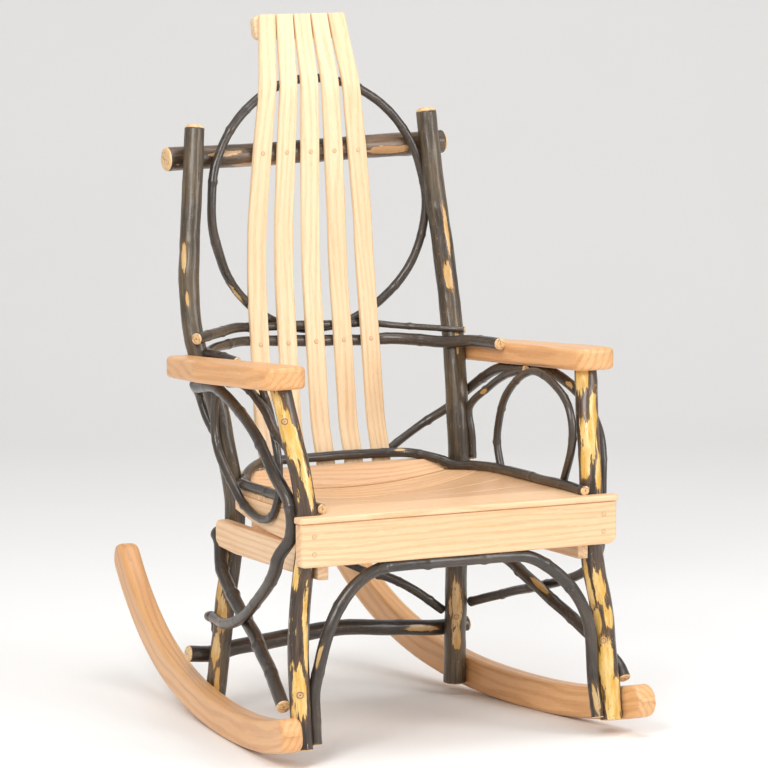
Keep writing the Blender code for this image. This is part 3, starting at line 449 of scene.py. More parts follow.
st_y = (behind(RL, 0.10, STRETCHER_R) + behind(RR, 0.11, STRETCHER_R)) / 2
add("rear_stretcher", Log([Vector((x, st_y + dy, z)) for x, dy, z in (
    (-0.262, 0, 0.103), (-0.222, 0, 0.100), (-0.169, 0.002, 0.107), (-0.078, 0.003, 0.116),
    (0.017, 0.003, 0.124), (0.130, 0.002, 0.115), (0.200, 0, 0.110), (0.256, 0, 0.113))],
    STRETCHER_R, 18))

# ---- bent branches of the back -------------------------------------------------------
slat_back = SLAT_T / 2 - BITE
r = ARM_HOOP_R
za = 0.603
add("arm_hoop", Log([
    Vector((leg_edge(RL, za, 1, 1) + r - 0.004, RL.at(za)[0].y - 0.105, za - 0.004)),
    Vector((leg_edge(RL, za, 1, 1) + r - 0.010, RL.at(za)[0].y - 0.055, za)),
    on(RL, za + 0.002, 0.45, -1, r * 0.85),
    Vector((slat_x(0, za) - 0.040, slat_y(za) + slat_back - 0.001, za + 0.007)),
    Vector((slat_x(0, za) - 0.014, slat_y(za) + slat_back + r * 0.9, za + 0.006)),
    Vector((slat_x(2, za), slat_y(za) + slat_back + r, za)),
    Vector((slat_x(4, za) + 0.012, slat_y(za) + slat_back + r, za - 0.004)),
    Vector((slat_x(4, za) + 0.048, slat_y(za) - 0.006, za - 0.003)),
    on(RR, za - 0.003, -0.45, -1, r),
    Vector((leg_edge(RR, za, 1, 1) - r - 0.002, RR.at(za)[0].y - 0.055, za)),
    Vector((leg_edge(RR, za, 1, 1) - r, RR.at(za)[0].y - 0.105, za + 0.003)),
    Vector((leg_edge(RR, za, 1, 1) - r + 0.001, RR.at(za)[0].y - 0.150, za + 0.005))],
    [r * 0.8, r * 0.8, r * 0.8, r * 0.85, r * 0.9] + [r] * 2 + [r * 1.05] * 3 + [r * 1.1] * 2, 26))
r = TWIG_R
zt = 0.629
add("upper_twig", Log([
    on(RL, zt + 0.001, -0.2, -1, r * 1.35) + Vector((-0.006, -0.010, 0)),
    on(RL, zt + 0.002, 0.25, -1, r * 1.3),
    Vector((slat_x(0, zt) - 0.042, slat_y(zt) + slat_back - 0.002, zt + 0.004)),
    Vector((slat_x(0, zt) - 0.014, slat_y(zt) + slat_back + r * 1.1, zt + 0.003)),
    Vector((slat_x(2, zt), slat_y(zt) + slat_back + r, zt + 0.001)),
    Vector((slat_x(4, zt) + 0.012, slat_y(zt) + slat_back + r * 0.8, zt - 0.003)),
    Vector((slat_x(4, zt) + 0.046, slat_y(zt) - 0.008, zt - 0.006)),
    on(RR, zt - 0.009, -0.25, -1, r * 0.75),
    on(RR, zt - 0.010, 0.2, -1, r * 0.75) + Vector((0.004, -0.008, 0))],
    [r * 1.35, r * 1.3, r * 1.2, r * 1.1, r, r * 0.85, r * 0.78, r * 0.75, r * 0.75], 22))

r = BACK_HOOP_R
hoop_r, hoop_z, hoop_h = 0.199, 0.832, 0.210
points = []
for k in range(16):
    a = 2 * math.pi * k / 16
    x, z = 0.009 + hoop_r * math.cos(a), hoop_z + hoop_h * math.sin(a)
    on_bar = BAR_Y - CROSSBAR_R - r + BITE
    up = (z - BAR_Z) / (hoop_z + hoop_h - BAR_Z)
    down = (BAR_Z - z) / (BAR_Z - hoop_z + hoop_h)
    if up > 0:
        y = on_bar + (slat_y(z) + slat_back + r - on_bar) * up
    else:
        low_y = slat_y(zt) + slat_back + 2 * TWIG_R + r - 0.001
        y = on_bar + (low_y - on_bar) * down ** 2 - 0.014 * math.sin(math.pi * down)
    points.append(Vector((x, y, z)))
add("back_hoop", Log(points, [r * 0.9, r, r, r, r, r, r, r, r, r * 1.05, r, r, r, r, r, r * 0.95], 32,
                     closed=True))

# ---- seat hoop and front arch --------------------------------------------------------
r = SEAT_HOOP_R
points = []
in_l = RL.at(RAIL_Z1)[0].x + RL.at(RAIL_Z1)[1] + r - BITE
in_r = -in_l
yb = slat_y(RAIL_Z1 + 0.03) - SLAT_T / 2 - r + 0.0005
py = RL.at(RAIL_Z1)[0].y
side_l, side_r = -SEAT_HALF + 0.002, SEAT_HALF - 0.002
for x, y in ((side_l, RAIL_Y0 + 0.030), (side_l, -0.10), (side_l + 0.001, 0.0),
             (side_l + 0.004, 0.080), (side_l + 0.019, py - 0.056), (in_l - 0.012, py - 0.028),
             (in_l + 0.006, py), (in_l + 0.052, yb - 0.008), (in_l * 0.35, yb), (0.0, yb + 0.001),
             (in_r * 0.40, yb), (in_r - 0.045, yb - 0.008), (in_r - 0.004, py - 0.002),
             (in_r + 0.016, py - 0.032), (side_r - 0.014, py - 0.062), (side_r - 0.003, 0.075),
             (side_r - 0.001, 0.0), (side_r, -0.10), (side_r + 0.001, RAIL_Y0 + 0.014)):
    points.append(Vector((x, y, seat_top(x, min(y, SEAT_BACK)) + r - 0.0008)))
add("seat_hoop", Log(points, r, 26))

r = ARCH_R
ya = (RAIL_Y0 + RAIL_Y1) / 2 + 0.001
zc = RAIL_Z0 - r + BITE
add("front_arch", Log([
    on(FL, 0.033, 1, 0.1, r), on(FL, 0.105, 1, 0, r), Vector((-0.243, ya + 0.004, 0.155)),
    Vector((-0.230, ya, 0.207)), Vector((-0.209, ya, 0.251)),
    Vector((-0.178, ya, zc - 0.022)), Vector((-0.140, ya, zc - 0.002)),
    Vector((-0.099, ya, zc)), Vector((0.0, ya, zc)), Vector((0.085, ya, zc)),
    Vector((0.124, ya, zc - 0.003)),
    Vector((0.160, ya, zc - 0.020)), Vector((0.200, ya, 0.254)),
    Vector((0.228, ya, 0.215)), Vector((0.243, ya + 0.004, 0.172)),
    on(FR, 0.110, -1, 0, r), on(FR, 0.033, -1, -0.1, r)],
    [r] * 14 + [r, r, r * 1.05], 28))

# ---- bent branches of the sides ------------------------------------------------------
r = SIDE_HOOP_R


def under_arm(x, y, r, drop=0.0):
    return Vector((x, y, arm_under(y) - r + 0.0008 - drop))


add("side_hoop_left", Log([
    on(RL, 0.452, 0.25, 1, r), on(RL, 0.490, -0.15, 1, r) + Vector((0, 0.016, 0)),
    Vector((RL.at(0.53)[0].x - 0.006, behind(RL, 0.53, r) + 0.022, 0.532)),
    Vector((RL.at(0.545)[0].x - 0.021, behind(RL, 0.545, r) - 0.004, 0.551)),
    on(RL, 0.549, -1, -0.1, r), under_arm(-0.266, 0.115, r, 0.004),
    P(-0.271, 0.030, 0.540), P(-0.276, -0.045, 0.512), P(-0.281, -0.100, 0.482),
    P(-0.282, -0.142, 0.450), on(FL, 0.410, -1, 0.75, r * 1.1), on(FL, 0.360, -1, 0.80, r * 1.1),
    P(-0.283, -0.155, 0.322), P(-0.282, -0.140, 0.296), P(-0.280, -0.102, 0.264), P(-0.275, -0.034, 0.220),
    P(-0.269, 0.016, 0.195), P(-0.260, 0.092, 0.175), on(RL, 0.168, -1, -0.4, r),
    on(RL, 0.166, -1, 0.7, r), on(RL, 0.156, -0.15, 1, r), on(RL, 0.136, 0.1, 1, r)],
    [r * k for k in [0.9] * 4 + [1] * 5 + [1.15] * 5 + [1.05, 1, 1, 0.95, 0.9, 0.9, 0.9, 0.85]],
    44))
add("side_hoop_right", Log([
    Vector((slat_x(4, 0.41) + 0.010, slat_y(0.410) + slat_back + r * 0.8, 0.410)),
    P(0.180, 0.250, 0.458), on(RR, 0.489, 0.1, 1, r * 0.9), on(RR, 0.515, 1, 0.35, r),
    under_arm(0.262, 0.130, r, 0.004), under_arm(0.268, 0.035, r),
    under_arm(0.273, -0.035, r, 0.003), P(0.280, -0.095, 0.553), P(0.285, -0.140, 0.522),
    on(FR, 0.475, 1, 0.05, r * 0.8), on(FR, 0.410, 1, 0.1, r * 0.8),
    on(FR, 0.350, 1, 0.3, r * 0.8), P(0.291, -0.165, 0.292), P(0.288, -0.128, 0.256),
    P(0.283, -0.070, 0.231), P(0.277, 0.010, 0.208), P(0.265, 0.100, 0.186), on(RR, 0.158, 1, -0.6, r)],
    [r * 0.8] * 2 + [r * 0.9] * 2 + [r] * 4 + [r * 0.9] * 2 + [r * 0.8] * 3 + [r * 0.9] * 5, 42))

r = BRACE_R
add("side_brace_left", Log([
    on(RL, 0.303, 0.15, 1, r), on(RL, 0.306, -1, 0.9, r), on(RL, 0.290, -1, -0.2, r),
    P(-0.236, 0.158, 0.254), P(-0.242, 0.105, 0.220), P(-0.247, 0.058, 0.198), P(-0.256, 0.002, 0.182),
    P(-0.269, -0.056, 0.161), P(-0.285, -0.132, 0.130), on(FL, 0.094, -1, 0.50, r)],
    [r * 0.95] * 4 + [r] * 6, 28))
add("side_brace_right", Log([
    on(RR, 0.303, -0.15, 1, r * 0.9), on(RR, 0.305, 1, 0.9, r * 0.9),
    on(RR, 0.290, 1, -0.2, r * 0.9),
    P(0.243, 0.125, 0.262), P(0.250, 0.056, 0.243), P(0.255, -0.009, 0.218), P(0.265, -0.060, 0.195),
    P(0.286, -0.130, 0.155), on(FR, 0.112, 1, 0.30, r * 0.9), on(FR, 0.092, 1, -0.35, r * 0.9)],
    r * 0.9, 28))
r = RING_R
add("rear_brace", Log([
    on(RR, 0.142, -0.9, 1, r), P(0.150, 0.222, 0.180), P(0.105, 0.221, 0.204), P(0.066, 0.220, 0.217),
    P(0.0, 0.219, 0.248), P(-0.070, 0.219, 0.288),
    Vector((-0.120, BACK_Y + BACK_RAIL_T / 2, RAIL_Z0 + 0.018 - r + BITE))],
    [r * 1.2] * 3 + [r] * 4, 18))


RING_X = SEAT_HALF + RING_R - BITE       # against the seat boards' ends


def ringed(s, y, z):
    return Vector((s * RING_X, y, z))


foot = SIDE_TOP + 0.022
add("arm_ring_right", Log([
    ringed(1, 0.055, foot), ringed(1, 0.074, 0.400), ringed(1, 0.088, 0.450),
    ringed(1, 0.070, 0.510), ringed(1, 0.025, 0.552),
    under_arm(RING_X, -0.035, r), ringed(1, -0.105, 0.562), ringed(1, -0.155, 0.528),
    ringed(1, -0.168, 0.475), ringed(1, -0.142, 0.410), ringed(1, -0.110, foot)], r, 26))
add("arm_ring_left", Log([
    under_arm(-RING_X, 0.170, r), ringed(-1, 0.180, 0.500),
    ringed(-1, 0.165, 0.450), ringed(-1, 0.115, 0.405), ringed(-1, 0.052, foot + 0.012),
    ringed(-1, 0.004, foot + 0.004), ringed(-1, -0.040, foot + 0.014), ringed(-1, -0.060, 0.400),
    ringed(-1, -0.062, 0.455), ringed(-1, -0.040, 0.515),
    under_arm(-RING_X, 0.000, r)], [r * 1.1] * 5 + [r] * 6, 26))
add("arm_arc_right", Log([
    under_arm(RING_X + 0.008, 0.005, r), P(0.245, 0.075, 0.556), P(0.243, 0.130, 0.530),
    on(RR, 0.490, 0.7, -1, r), on(RR, 0.450, 0.85, -0.8, r), on(RR, 0.405, 0.9, -0.6, r)],
    r, 16))
add("arm_arc_left", Log([
    under_arm(-RING_X - 0.010, 0.105, r), under_arm(-RING_X - 0.010, 0.050, r),
    P(-0.250, -0.038, 0.541), P(-0.254, -0.089, 0.507), on(FL, 0.478, 0.25, 1, r),
    on(FL, 0.455, 0.3, 1, r)], [r, r, r * 1.2, r * 1.2, r * 1.1, r], 16))

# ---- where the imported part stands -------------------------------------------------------
rail_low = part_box("front_rail")[0]
SHIFT = rail_low - Vector((-WIDTH / 2, RAIL_Y0, RAIL_Z0))
TO_VIEWER = Vector((-0.4495, -0.8841, 0.0)).normalized()     # towards the front left of the chair
TO_LEFT = Vector((-0.8914, 0.4532, 0.0))


def facing(turn):
    """Level direction, turned by degrees towards the picture's right from the front-left view."""
    a = math.radians(turn)
    return TO_VIEWER * math.cos(a) - TO_LEFT * math.sin(a)


# ---- noise and mesh helpers -------------------------------------------------------------
def noise3(p, seed=0):
    """Smooth noise, 0 to 1, at an array of points."""
    base = np.floor(p).astype(np.int64)
    f = p - base
    f = f * f * (3 - 2 * f)
    total = 0.0
    for dx in (0, 1):
        for dy in (0, 1):
            for dz in (0, 1):
                n = ((base[..., 0] + dx) * 374761393 + (base[..., 1] + dy) * 668265263
                     + (base[..., 2] + dz) * 1442695041 + seed * 97471171) & 0xFFFFFFFF
                n = ((n ^ (n >> 13)) * 1274126177) & 0xFFFFFFFF
                h = ((n ^ (n >> 16)) & 0xFFFF) / 65535.0
                wx = f[..., 0] if dx else 1 - f[..., 0]
                wy = f[..., 1] if dy else 1 - f[..., 1]
                wz = f[..., 2] if dz else 1 - f[..., 2]
                total = total + h * wx * wy * wz
    return total


def build(name, verts, faces, mat, floats=None, vectors=None):
    """A smooth mesh that stands for a CAD node and carries point attributes."""
    mesh = bpy.data.meshes.new(name)
    mesh.from_pydata(np.asarray(verts).tolist(), [], faces)
    mesh.update()
    mesh.shade_smooth()
    for key, values in (floats or {}).items():
        mesh.attributes.new(key, "FLOAT", "POINT").data.foreach_set(
            "value", np.asarray(values, np.float32).ravel())
    for key, values in (vectors or {}).items():
        mesh.attributes.new(key, "FLOAT_VECTOR", "POINT").data.foreach_set(
            "vector", np.asarray(values, np.float32).ravel())
    obj = bpy.data.objects.new(name, mesh)
    bpy.context.scene.collection.objects.link(obj)
    mesh.materials.append(mat)
    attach(obj, "root")
    return obj


# ---- node trees -------------------------------------------------------------------------
class Tree:
    """A material's node tree, written as nested calls."""

    def __init__(self, name):
        self.mat = bpy.data.materials.new(name)
        self.mat.use_nodes = True
        self.nt = self.mat.node_tree
        self.shader = self.nt.nodes["Principled BSDF"]

    def put(self, socket, value):
        if isinstance(value, bpy.types.NodeSocket):
            self.nt.links.new(value, socket)
        elif isinstance(value, (tuple, list)) and len(value) == 3 and socket.type == "RGBA":
            socket.default_value = (*value, 1)
        else:
            socket.default_value = value

    def node(self, kind, props=None, **inputs):
        n = self.nt.nodes.new("ShaderNode" + kind)
        for k, v in (props or {}).items():
            setattr(n, k, v)
        for k, v in inputs.items():
            self.put(n.inputs[int(k[1:]) if k[0] == "i" and k[1:].isdigit() else k.replace("_", " ")], v)
        return n

    def attr(self, name, vector=False):
        n = self.node("Attribute", {"attribute_name": name})
        return n.outputs["Vector" if vector else "Fac"]

    def scaled(self, vector, scale, shift=(0, 0, 0)):
        return self.node("Mapping", None, Vector=vector, Scale=scale, Location=shift).outputs[0]

    def noise(self, vector, detail=2.0, rough=0.5, warp=0.0):
        return self.node("TexNoise", None, Vector=vector, Scale=1.0, Detail=detail, Roughness=rough,
                         Distortion=warp).outputs["Fac"]

    def ramp(self, value, low, high):
        """0 below low, 1 above high, smooth between."""
        return self.node("MapRange", {"interpolation_type": "SMOOTHSTEP"}, Value=value,
                         From_Min=low, From_Max=high).outputs[0]

    def math(self, op, a, b=0.0):
        return self.node("Math", {"operation": op}, i0=a, i1=b).outputs[0]

    def mix(self, fac, a, b, blend="MIX"):
        n = self.node("Mix", {"data_type": "RGBA", "blend_type": blend})
        self.put(n.inputs[0], fac)
        self.put(n.inputs[6], a)
        self.put(n.inputs[7], b)
        return n.outputs[2]

    def bump(self, height, strength, distance, normal=None):
        n = self.node("Bump", None, Height=height, Strength=strength, Distance=distance)
        if normal is not None:
            self.put(n.inputs["Normal"], normal)
        return n.outputs[0]

    def finish(self, color, rough, normal, coat=0.0, coat_rough=0.2, ior=1.5, spec=0.5):
        s = self.shader.inputs
        self.put(s["Base Color"], color)
        self.put(s["Roughness"], rough)
        self.put(s["Normal"], normal)
        s["Coat Weight"].default_value = coat
        s["Coat Roughness"].default_value = coat_rough
        s["IOR"].default_value = ior
        s["Specular IOR Level"].default_value = spec
        return self.mat


# ---- materials --------------------------------------------------------------------------
def bark_material(name, dark, mid, streak, gold, pale, speckle=0.0, grey=0.35, coat=0.35):
    """Glossy hickory bark, ragged peeled patches of yellow inner wood, and cut ends.

    bark is the straightened log's place in metres, peel says how deep inside a patch a
    point is, and cut is 1 on sawn faces."""
    t = Tree(name)
    b = t.attr("bark", True)
    broad = t.noise(t.scaled(b, (26, 26, 9)), 3.0, 0.55)
    strand = t.noise(t.scaled(b, (330, 330, 16)), 3.0, 0.6)
    fine = t.noise(t.scaled(b, (900, 900, 90)), 2.0, 0.6)
    scale = t.noise(t.scaled(b, (120, 120, 60)), 3.0, 0.6, 0.8)
    tone = t.mix(t.ramp(broad, 0.36, 0.66), dark, mid)
    tone = t.mix(t.math("MULTIPLY", t.ramp(strand, 0.50, 0.74), 0.55), tone, streak)
    tone = t.mix(t.math("MULTIPLY", t.ramp(scale, 0.56, 0.74), grey), tone, (0.16, 0.125, 0.095))
    tone = t.mix(t.math("MULTIPLY", t.ramp(strand, 0.46, 0.30), 0.65), tone, (0.010, 0.007, 0.005))
    spots = t.node("TexVoronoi", None, Vector=t.scaled(b, (210, 210, 120)), Scale=1.0).outputs["Distance"]
    where = t.ramp(t.noise(t.scaled(b, (70, 70, 40))), 0.52, 0.6)
    spots = t.math("MULTIPLY", t.ramp(spots, 0.16, 0.07), where)
    tone = t.mix(t.math("MULTIPLY", spots, 0.75), tone, (0.30, 0.22, 0.14))
    # peeled patches
    ragged = t.noise(t.scaled(b, (150, 150, 22)), 4.0, 0.62, 0.6)
    edge = t.math("ADD", t.attr("peel"), t.math("MULTIPLY", t.math("SUBTRACT", ragged, 0.5), 2.1))
    stray = t.noise(t.scaled(b, (210, 210, 38), (3, 5, 7)), 4.0, 0.65)
    edge = t.math("MAXIMUM", edge, t.math("MULTIPLY", t.math("SUBTRACT", stray, 1.0 - speckle), 9.0))
    open_ = t.ramp(edge, 0.06, 0.16)
    rim = t.ramp(edge, -0.28, 0.10)
    rim_tone = t.mix(t.ramp(fine, 0.35, 0.65), (0.22, 0.105, 0.022), (0.095, 0.042, 0.014))
    tone = t.mix(t.math("MULTIPLY", rim, 0.72), tone, rim_tone)
    inner = t.mix(t.ramp(t.noise(t.scaled(b, (95, 95, 20), (9, 2, 4)), 3.0, 0.6), 0.36, 0.64), gold, pale)
    lines = t.ramp(t.noise(t.scaled(b, (520, 520, 48)), 3.0, 0.6), 0.54, 0.72)
    inner = t.mix(t.math("MULTIPLY", lines, 0.55), inner, (0.36, 0.17, 0.035))
    flecks = t.ramp(t.noise(t.scaled(b, (420, 420, 150), (1, 8, 3)), 3.0, 0.7), 0.62, 0.70)
    inner = t.mix(t.math("MULTIPLY", flecks, t.ramp(edge, 0.95, 0.15)), inner, (0.055, 0.030, 0.016))
    tone = t.mix(open_, tone, inner)
    # knots: rings round a dark eye
    knot = t.attr("knot")
    swirl = t.math("ADD", knot, t.math("MULTIPLY", t.math("SUBTRACT", scale, 0.5), 0.5))
    tone = t.mix(t.ramp(swirl, 0.10, 0.28), tone, (0.62, 0.38, 0.15))
    band = t.math("MULTIPLY", t.ramp(swirl, 0.34, 0.44), t.ramp(swirl, 0.62, 0.50))
    tone = t.mix(band, tone, (0.20, 0.09, 0.035))
    tone = t.mix(t.ramp(knot, 0.80, 0.90), tone, (0.045, 0.030, 0.020))
    # sawn ends: growth rings and drying cracks
    x = t.node("SeparateXYZ", None, Vector=b)
    flat = t.node("CombineXYZ", None, X=x.outputs[0], Y=x.outputs[1]).outputs[0]
    radius = t.node("VectorMath", {"operation": "LENGTH"}, i0=flat).outputs["Value"]
    wob = t.noise(t.scaled(flat, (110, 110, 1)), 2.0, 0.5)
    ring = t.math("SINE", t.math("ADD", t.math("MULTIPLY", radius, 3600.0), t.math("MULTIPLY", wob, 9.0)))
    sawn = t.mix(t.ramp(ring, -0.6, 0.9), (0.80, 0.56, 0.30), (0.62, 0.36, 0.15))
    sawn = t.mix(t.ramp(t.noise(t.scaled(flat, (240, 240, 1)), 3.0), 0.55, 0.75), sawn, (0.42, 0.22, 0.09))
    heart = t.ramp(radius, 0.0022, 0.0009)
    sawn = t.mix(t.math("MULTIPLY", heart, 0.8), sawn, (0.20, 0.10, 0.045))
    crack = t.node("TexVoronoi", {"feature": "DISTANCE_TO_EDGE"}, Vector=t.scaled(flat, (95, 95, 1)),
                   Scale=1.0).outputs["Distance"]
    crack = t.math("MULTIPLY", t.ramp(crack, 0.045, 0.012), t.ramp(wob, 0.48, 0.56))
    sawn = t.mix(t.math("MULTIPLY", crack, 0.8), sawn, (0.09, 0.045, 0.02))
    cut = t.ramp(t.attr("cut"), 0.35, 0.65)
    tone = t.mix(cut, tone, sawn)
    rough = t.math("ADD", 0.30, t.math("MULTIPLY", scale, 0.22))
    rough = t.math("ADD", rough, t.math("MULTIPLY", cut, 0.18))
    height = t.math("ADD", t.math("MULTIPLY", strand, 0.9), t.math("MULTIPLY", scale, 0.7))
    height = t.math("MULTIPLY", height, t.math("SUBTRACT", 1.0, open_))
    height = t.math("ADD", height, t.math("MULTIPLY", fine, 0.25))
    normal = t.bump(height, 0.62, 0.0011)
    normal = t.bump(t.math("SUBTRACT", 1.0, open_), 0.55, 0.0006, normal)
    return t.finish(tone, rough, normal, coat=coat, coat_rough=0.16)


def oak_material(name, light, mid, dark, pore=0.5, flame=0.5, rough=0.40, coat=0.18, end=0.35):
    """Oiled oak: grain is along, across and through the board in metres; cap is 1 on end grain."""
    t = Tree(name)
    g = t.attr("grain", True)
    x = t.node("SeparateXYZ", None, Vector=g)
    bend = t.noise(t.scaled(g, (2.6, 15, 15)), 2.0, 0.5)
    slow = t.noise(t.scaled(g, (1.3, 6, 6), (4, 1, 2)), 2.0, 0.5)
    across = t.math("ADD", x.outputs[1], t.math("MULTIPLY", x.outputs[2], 0.55))
    phase = t.math("ADD", t.math("MULTIPLY", across, 560.0), t.math("MULTIPLY", bend, 26.0))
    wave = t.math("SINE", t.math("ADD", phase, t.math("MULTIPLY", slow, 14.0)))
    year = t.ramp(wave, -0.2, 0.95)
    streaks = t.noise(t.scaled(g, (5, 130, 130), (2, 7, 1)), 3.0, 0.55)
    thin = t.noise(t.scaled(g, (16, 520, 520)), 3.0, 0.6)
    pores = t.noise(t.scaled(g, (75, 2300, 2300)), 2.0, 0.55)
    tone = t.mix(t.ramp(slow, 0.30, 0.70), light, mid)
    tone = t.mix(t.math("MULTIPLY", year, flame), tone, dark)
    tone = t.mix(t.math("MULTIPLY", t.ramp(streaks, 0.52, 0.72), 0.42), tone, dark)
    tone = t.mix(t.math("MULTIPLY", t.ramp(streaks, 0.44, 0.28), 0.30), tone, light)
    tone = t.mix(t.math("MULTIPLY", t.ramp(thin, 0.50, 0.70), 0.30), tone, dark)
    vessel = t.math("ADD", 0.35, t.math("MULTIPLY", year, 0.65))
    vessel = t.math("MULTIPLY", t.ramp(pores, 0.56, 0.68), vessel)
    brown = tuple(c * 0.50 for c in dark)
    tone = t.mix(t.math("MULTIPLY", vessel, pore), tone, brown)
    ray = t.ramp(t.noise(t.scaled(g, (38, 240, 700), (5, 5, 5)), 1.0, 0.5, 0.3), 0.66, 0.74)
    tone = t.mix(t.math("MULTIPLY", ray, 0.30), tone, tuple(min(1.0, c * 1.15) for c in light))
    cap = t.ramp(t.attr("cap"), 0.25, 0.75)
    ends = t.noise(t.scaled(g, (30, 900, 420), (3, 3, 3)), 3.0, 0.6)
    grain_end = t.mix(t.ramp(ends, 0.42, 0.66), tone, brown)
    tone = t.mix(t.math("MULTIPLY", cap, end), tone, grain_end)
    rough_ = t.math("ADD", rough - 0.05, t.math("MULTIPLY", streaks, 0.14))
    height = t.math("SUBTRACT", t.math("MULTIPLY", thin, 0.5), t.math("MULTIPLY", vessel, 0.8))
    normal = t.bump(height, 0.30, 0.00035)
    return t.finish(tone, rough_, normal, coat=coat, coat_rough=0.28)


def plug_material(name, light, dark, eye=0.0):
    """A wooden plug seen end on, with painted shade as a thin dark ring round its joint."""
    t = Tree(name)
    g = t.attr("grain", True)
    r = t.attr("rim")
    pores = t.noise(t.scaled(g, (1400, 500, 300)), 3.0, 0.6)
    tone = t.mix(t.ramp(pores, 0.42, 0.68), light, dark)
    cloud = t.ramp(t.noise(t.scaled(g, (260, 160, 160)), 2.0), 0.4, 0.7)
    tone = t.mix(t.math("MULTIPLY", cloud, 0.4), tone, dark)
    # painted shade: a thin dark ring at the plug's edge, where it meets its hole
    tone = t.mix(t.ramp(r, 0.80, 0.93), tone, tuple(c * 0.42 for c in dark))
    if eye:
        tone = t.mix(t.math("MULTIPLY", t.ramp(r, eye, eye * 0.7), 0.85), tone, (0.06, 0.045, 0.035))
    return t.finish(tone, t.math("ADD", 0.36, t.math("MULTIPLY", pores, 0.12)),
                    t.bump(pores, 0.25, 0.0002), coat=0.15, coat_rough=0.3)


GOLD, PALE = (0.66, 0.37, 0.055), (0.80, 0.56, 0.22)
LEG_BARK = bark_material("bark_leg", (0.030, 0.017, 0.011), (0.075, 0.042, 0.024), (0.17, 0.10, 0.05),
                         GOLD, PALE, speckle=0.36, grey=0.22, coat=0.45)
POST_BARK = bark_material("bark_post", (0.040, 0.028, 0.016), (0.10, 0.068, 0.036), (0.21, 0.15, 0.08),
                          (0.55, 0.30, 0.07), (0.62, 0.42, 0.20), speckle=0.30, grey=0.45, coat=0.30)
BAR_BARK = bark_material("bark_bar", (0.040, 0.024, 0.014), (0.14, 0.080, 0.040), (0.26, 0.17, 0.09),
                         (0.42, 0.22, 0.08), (0.50, 0.32, 0.17), speckle=0.33, grey=0.35, coat=0.35)
TWIG_BARK = bark_material("bark_branch", (0.022, 0.015, 0.011), (0.050, 0.034, 0.023), (0.105, 0.072, 0.045),
                          (0.50, 0.30, 0.08), (0.55, 0.38, 0.18), speckle=0.27, grey=0.30, coat=0.50)
SLAT_OAK = oak_material("oak_slat", (0.86, 0.66, 0.43), (0.80, 0.575, 0.345), (0.66, 0.42, 0.215),
                        pore=0.50, flame=0.30, rough=0.46, coat=0.10)
RAIL_OAK = oak_material("oak_rail", (0.86, 0.60, 0.37), (0.80, 0.515, 0.29), (0.67, 0.36, 0.165),
                        pore=0.42, flame=0.42, rough=0.44, coat=0.12)
SEAT_OAK = oak_material("oak_seat", (0.80, 0.53, 0.31), (0.73, 0.44, 0.235), (0.56, 0.29, 0.125),
                        pore=0.45, flame=0.38, rough=0.40, coat=0.18)
ARM_OAK = oak_material("oak_arm", (0.80, 0.46, 0.21), (0.74, 0.385, 0.155), (0.56, 0.245, 0.085),
                       pore=0.45, flame=0.40, rough=0.38, coat=0.22, end=0.15)
PLUG = plug_material("plug_oak", (0.72, 0.48, 0.28), (0.58, 0.34, 0.17))


# ---- logs and branches ------------------------------------------------------------------
def carried_frames(path, closed):
    """Tangents and two cross directions, carried along without twisting."""
    n = len(path)
    if closed:
        tan = np.roll(path, -1, 0) - np.roll(path, 1, 0)
    else:
        tan = np.gradient(path, axis=0)
    tan /= np.linalg.norm(tan, axis=1)[:, None]
    ref = np.array(Vector(tan[0]).orthogonal().normalized())
    side = [ref]
    for i in range(1, n):
        v = side[-1] - tan[i] * (side[-1] @ tan[i])
        side.append(v / np.linalg.norm(v))
    side = np.array(side)
    if closed:
        v = side[-1] - tan[0] * (side[-1] @ tan[0])
        v /= np.linalg.norm(v)
        twist = math.atan2(np.cross(side[0], v) @ tan[0], side[0] @ v)
        a = -twist * np.arange(n) / n
        up = np.cross(tan, side)
        side = side * np.cos(a)[:, None] + up * np.sin(a)[:, None]
    return tan, side, np.cross(tan, side)


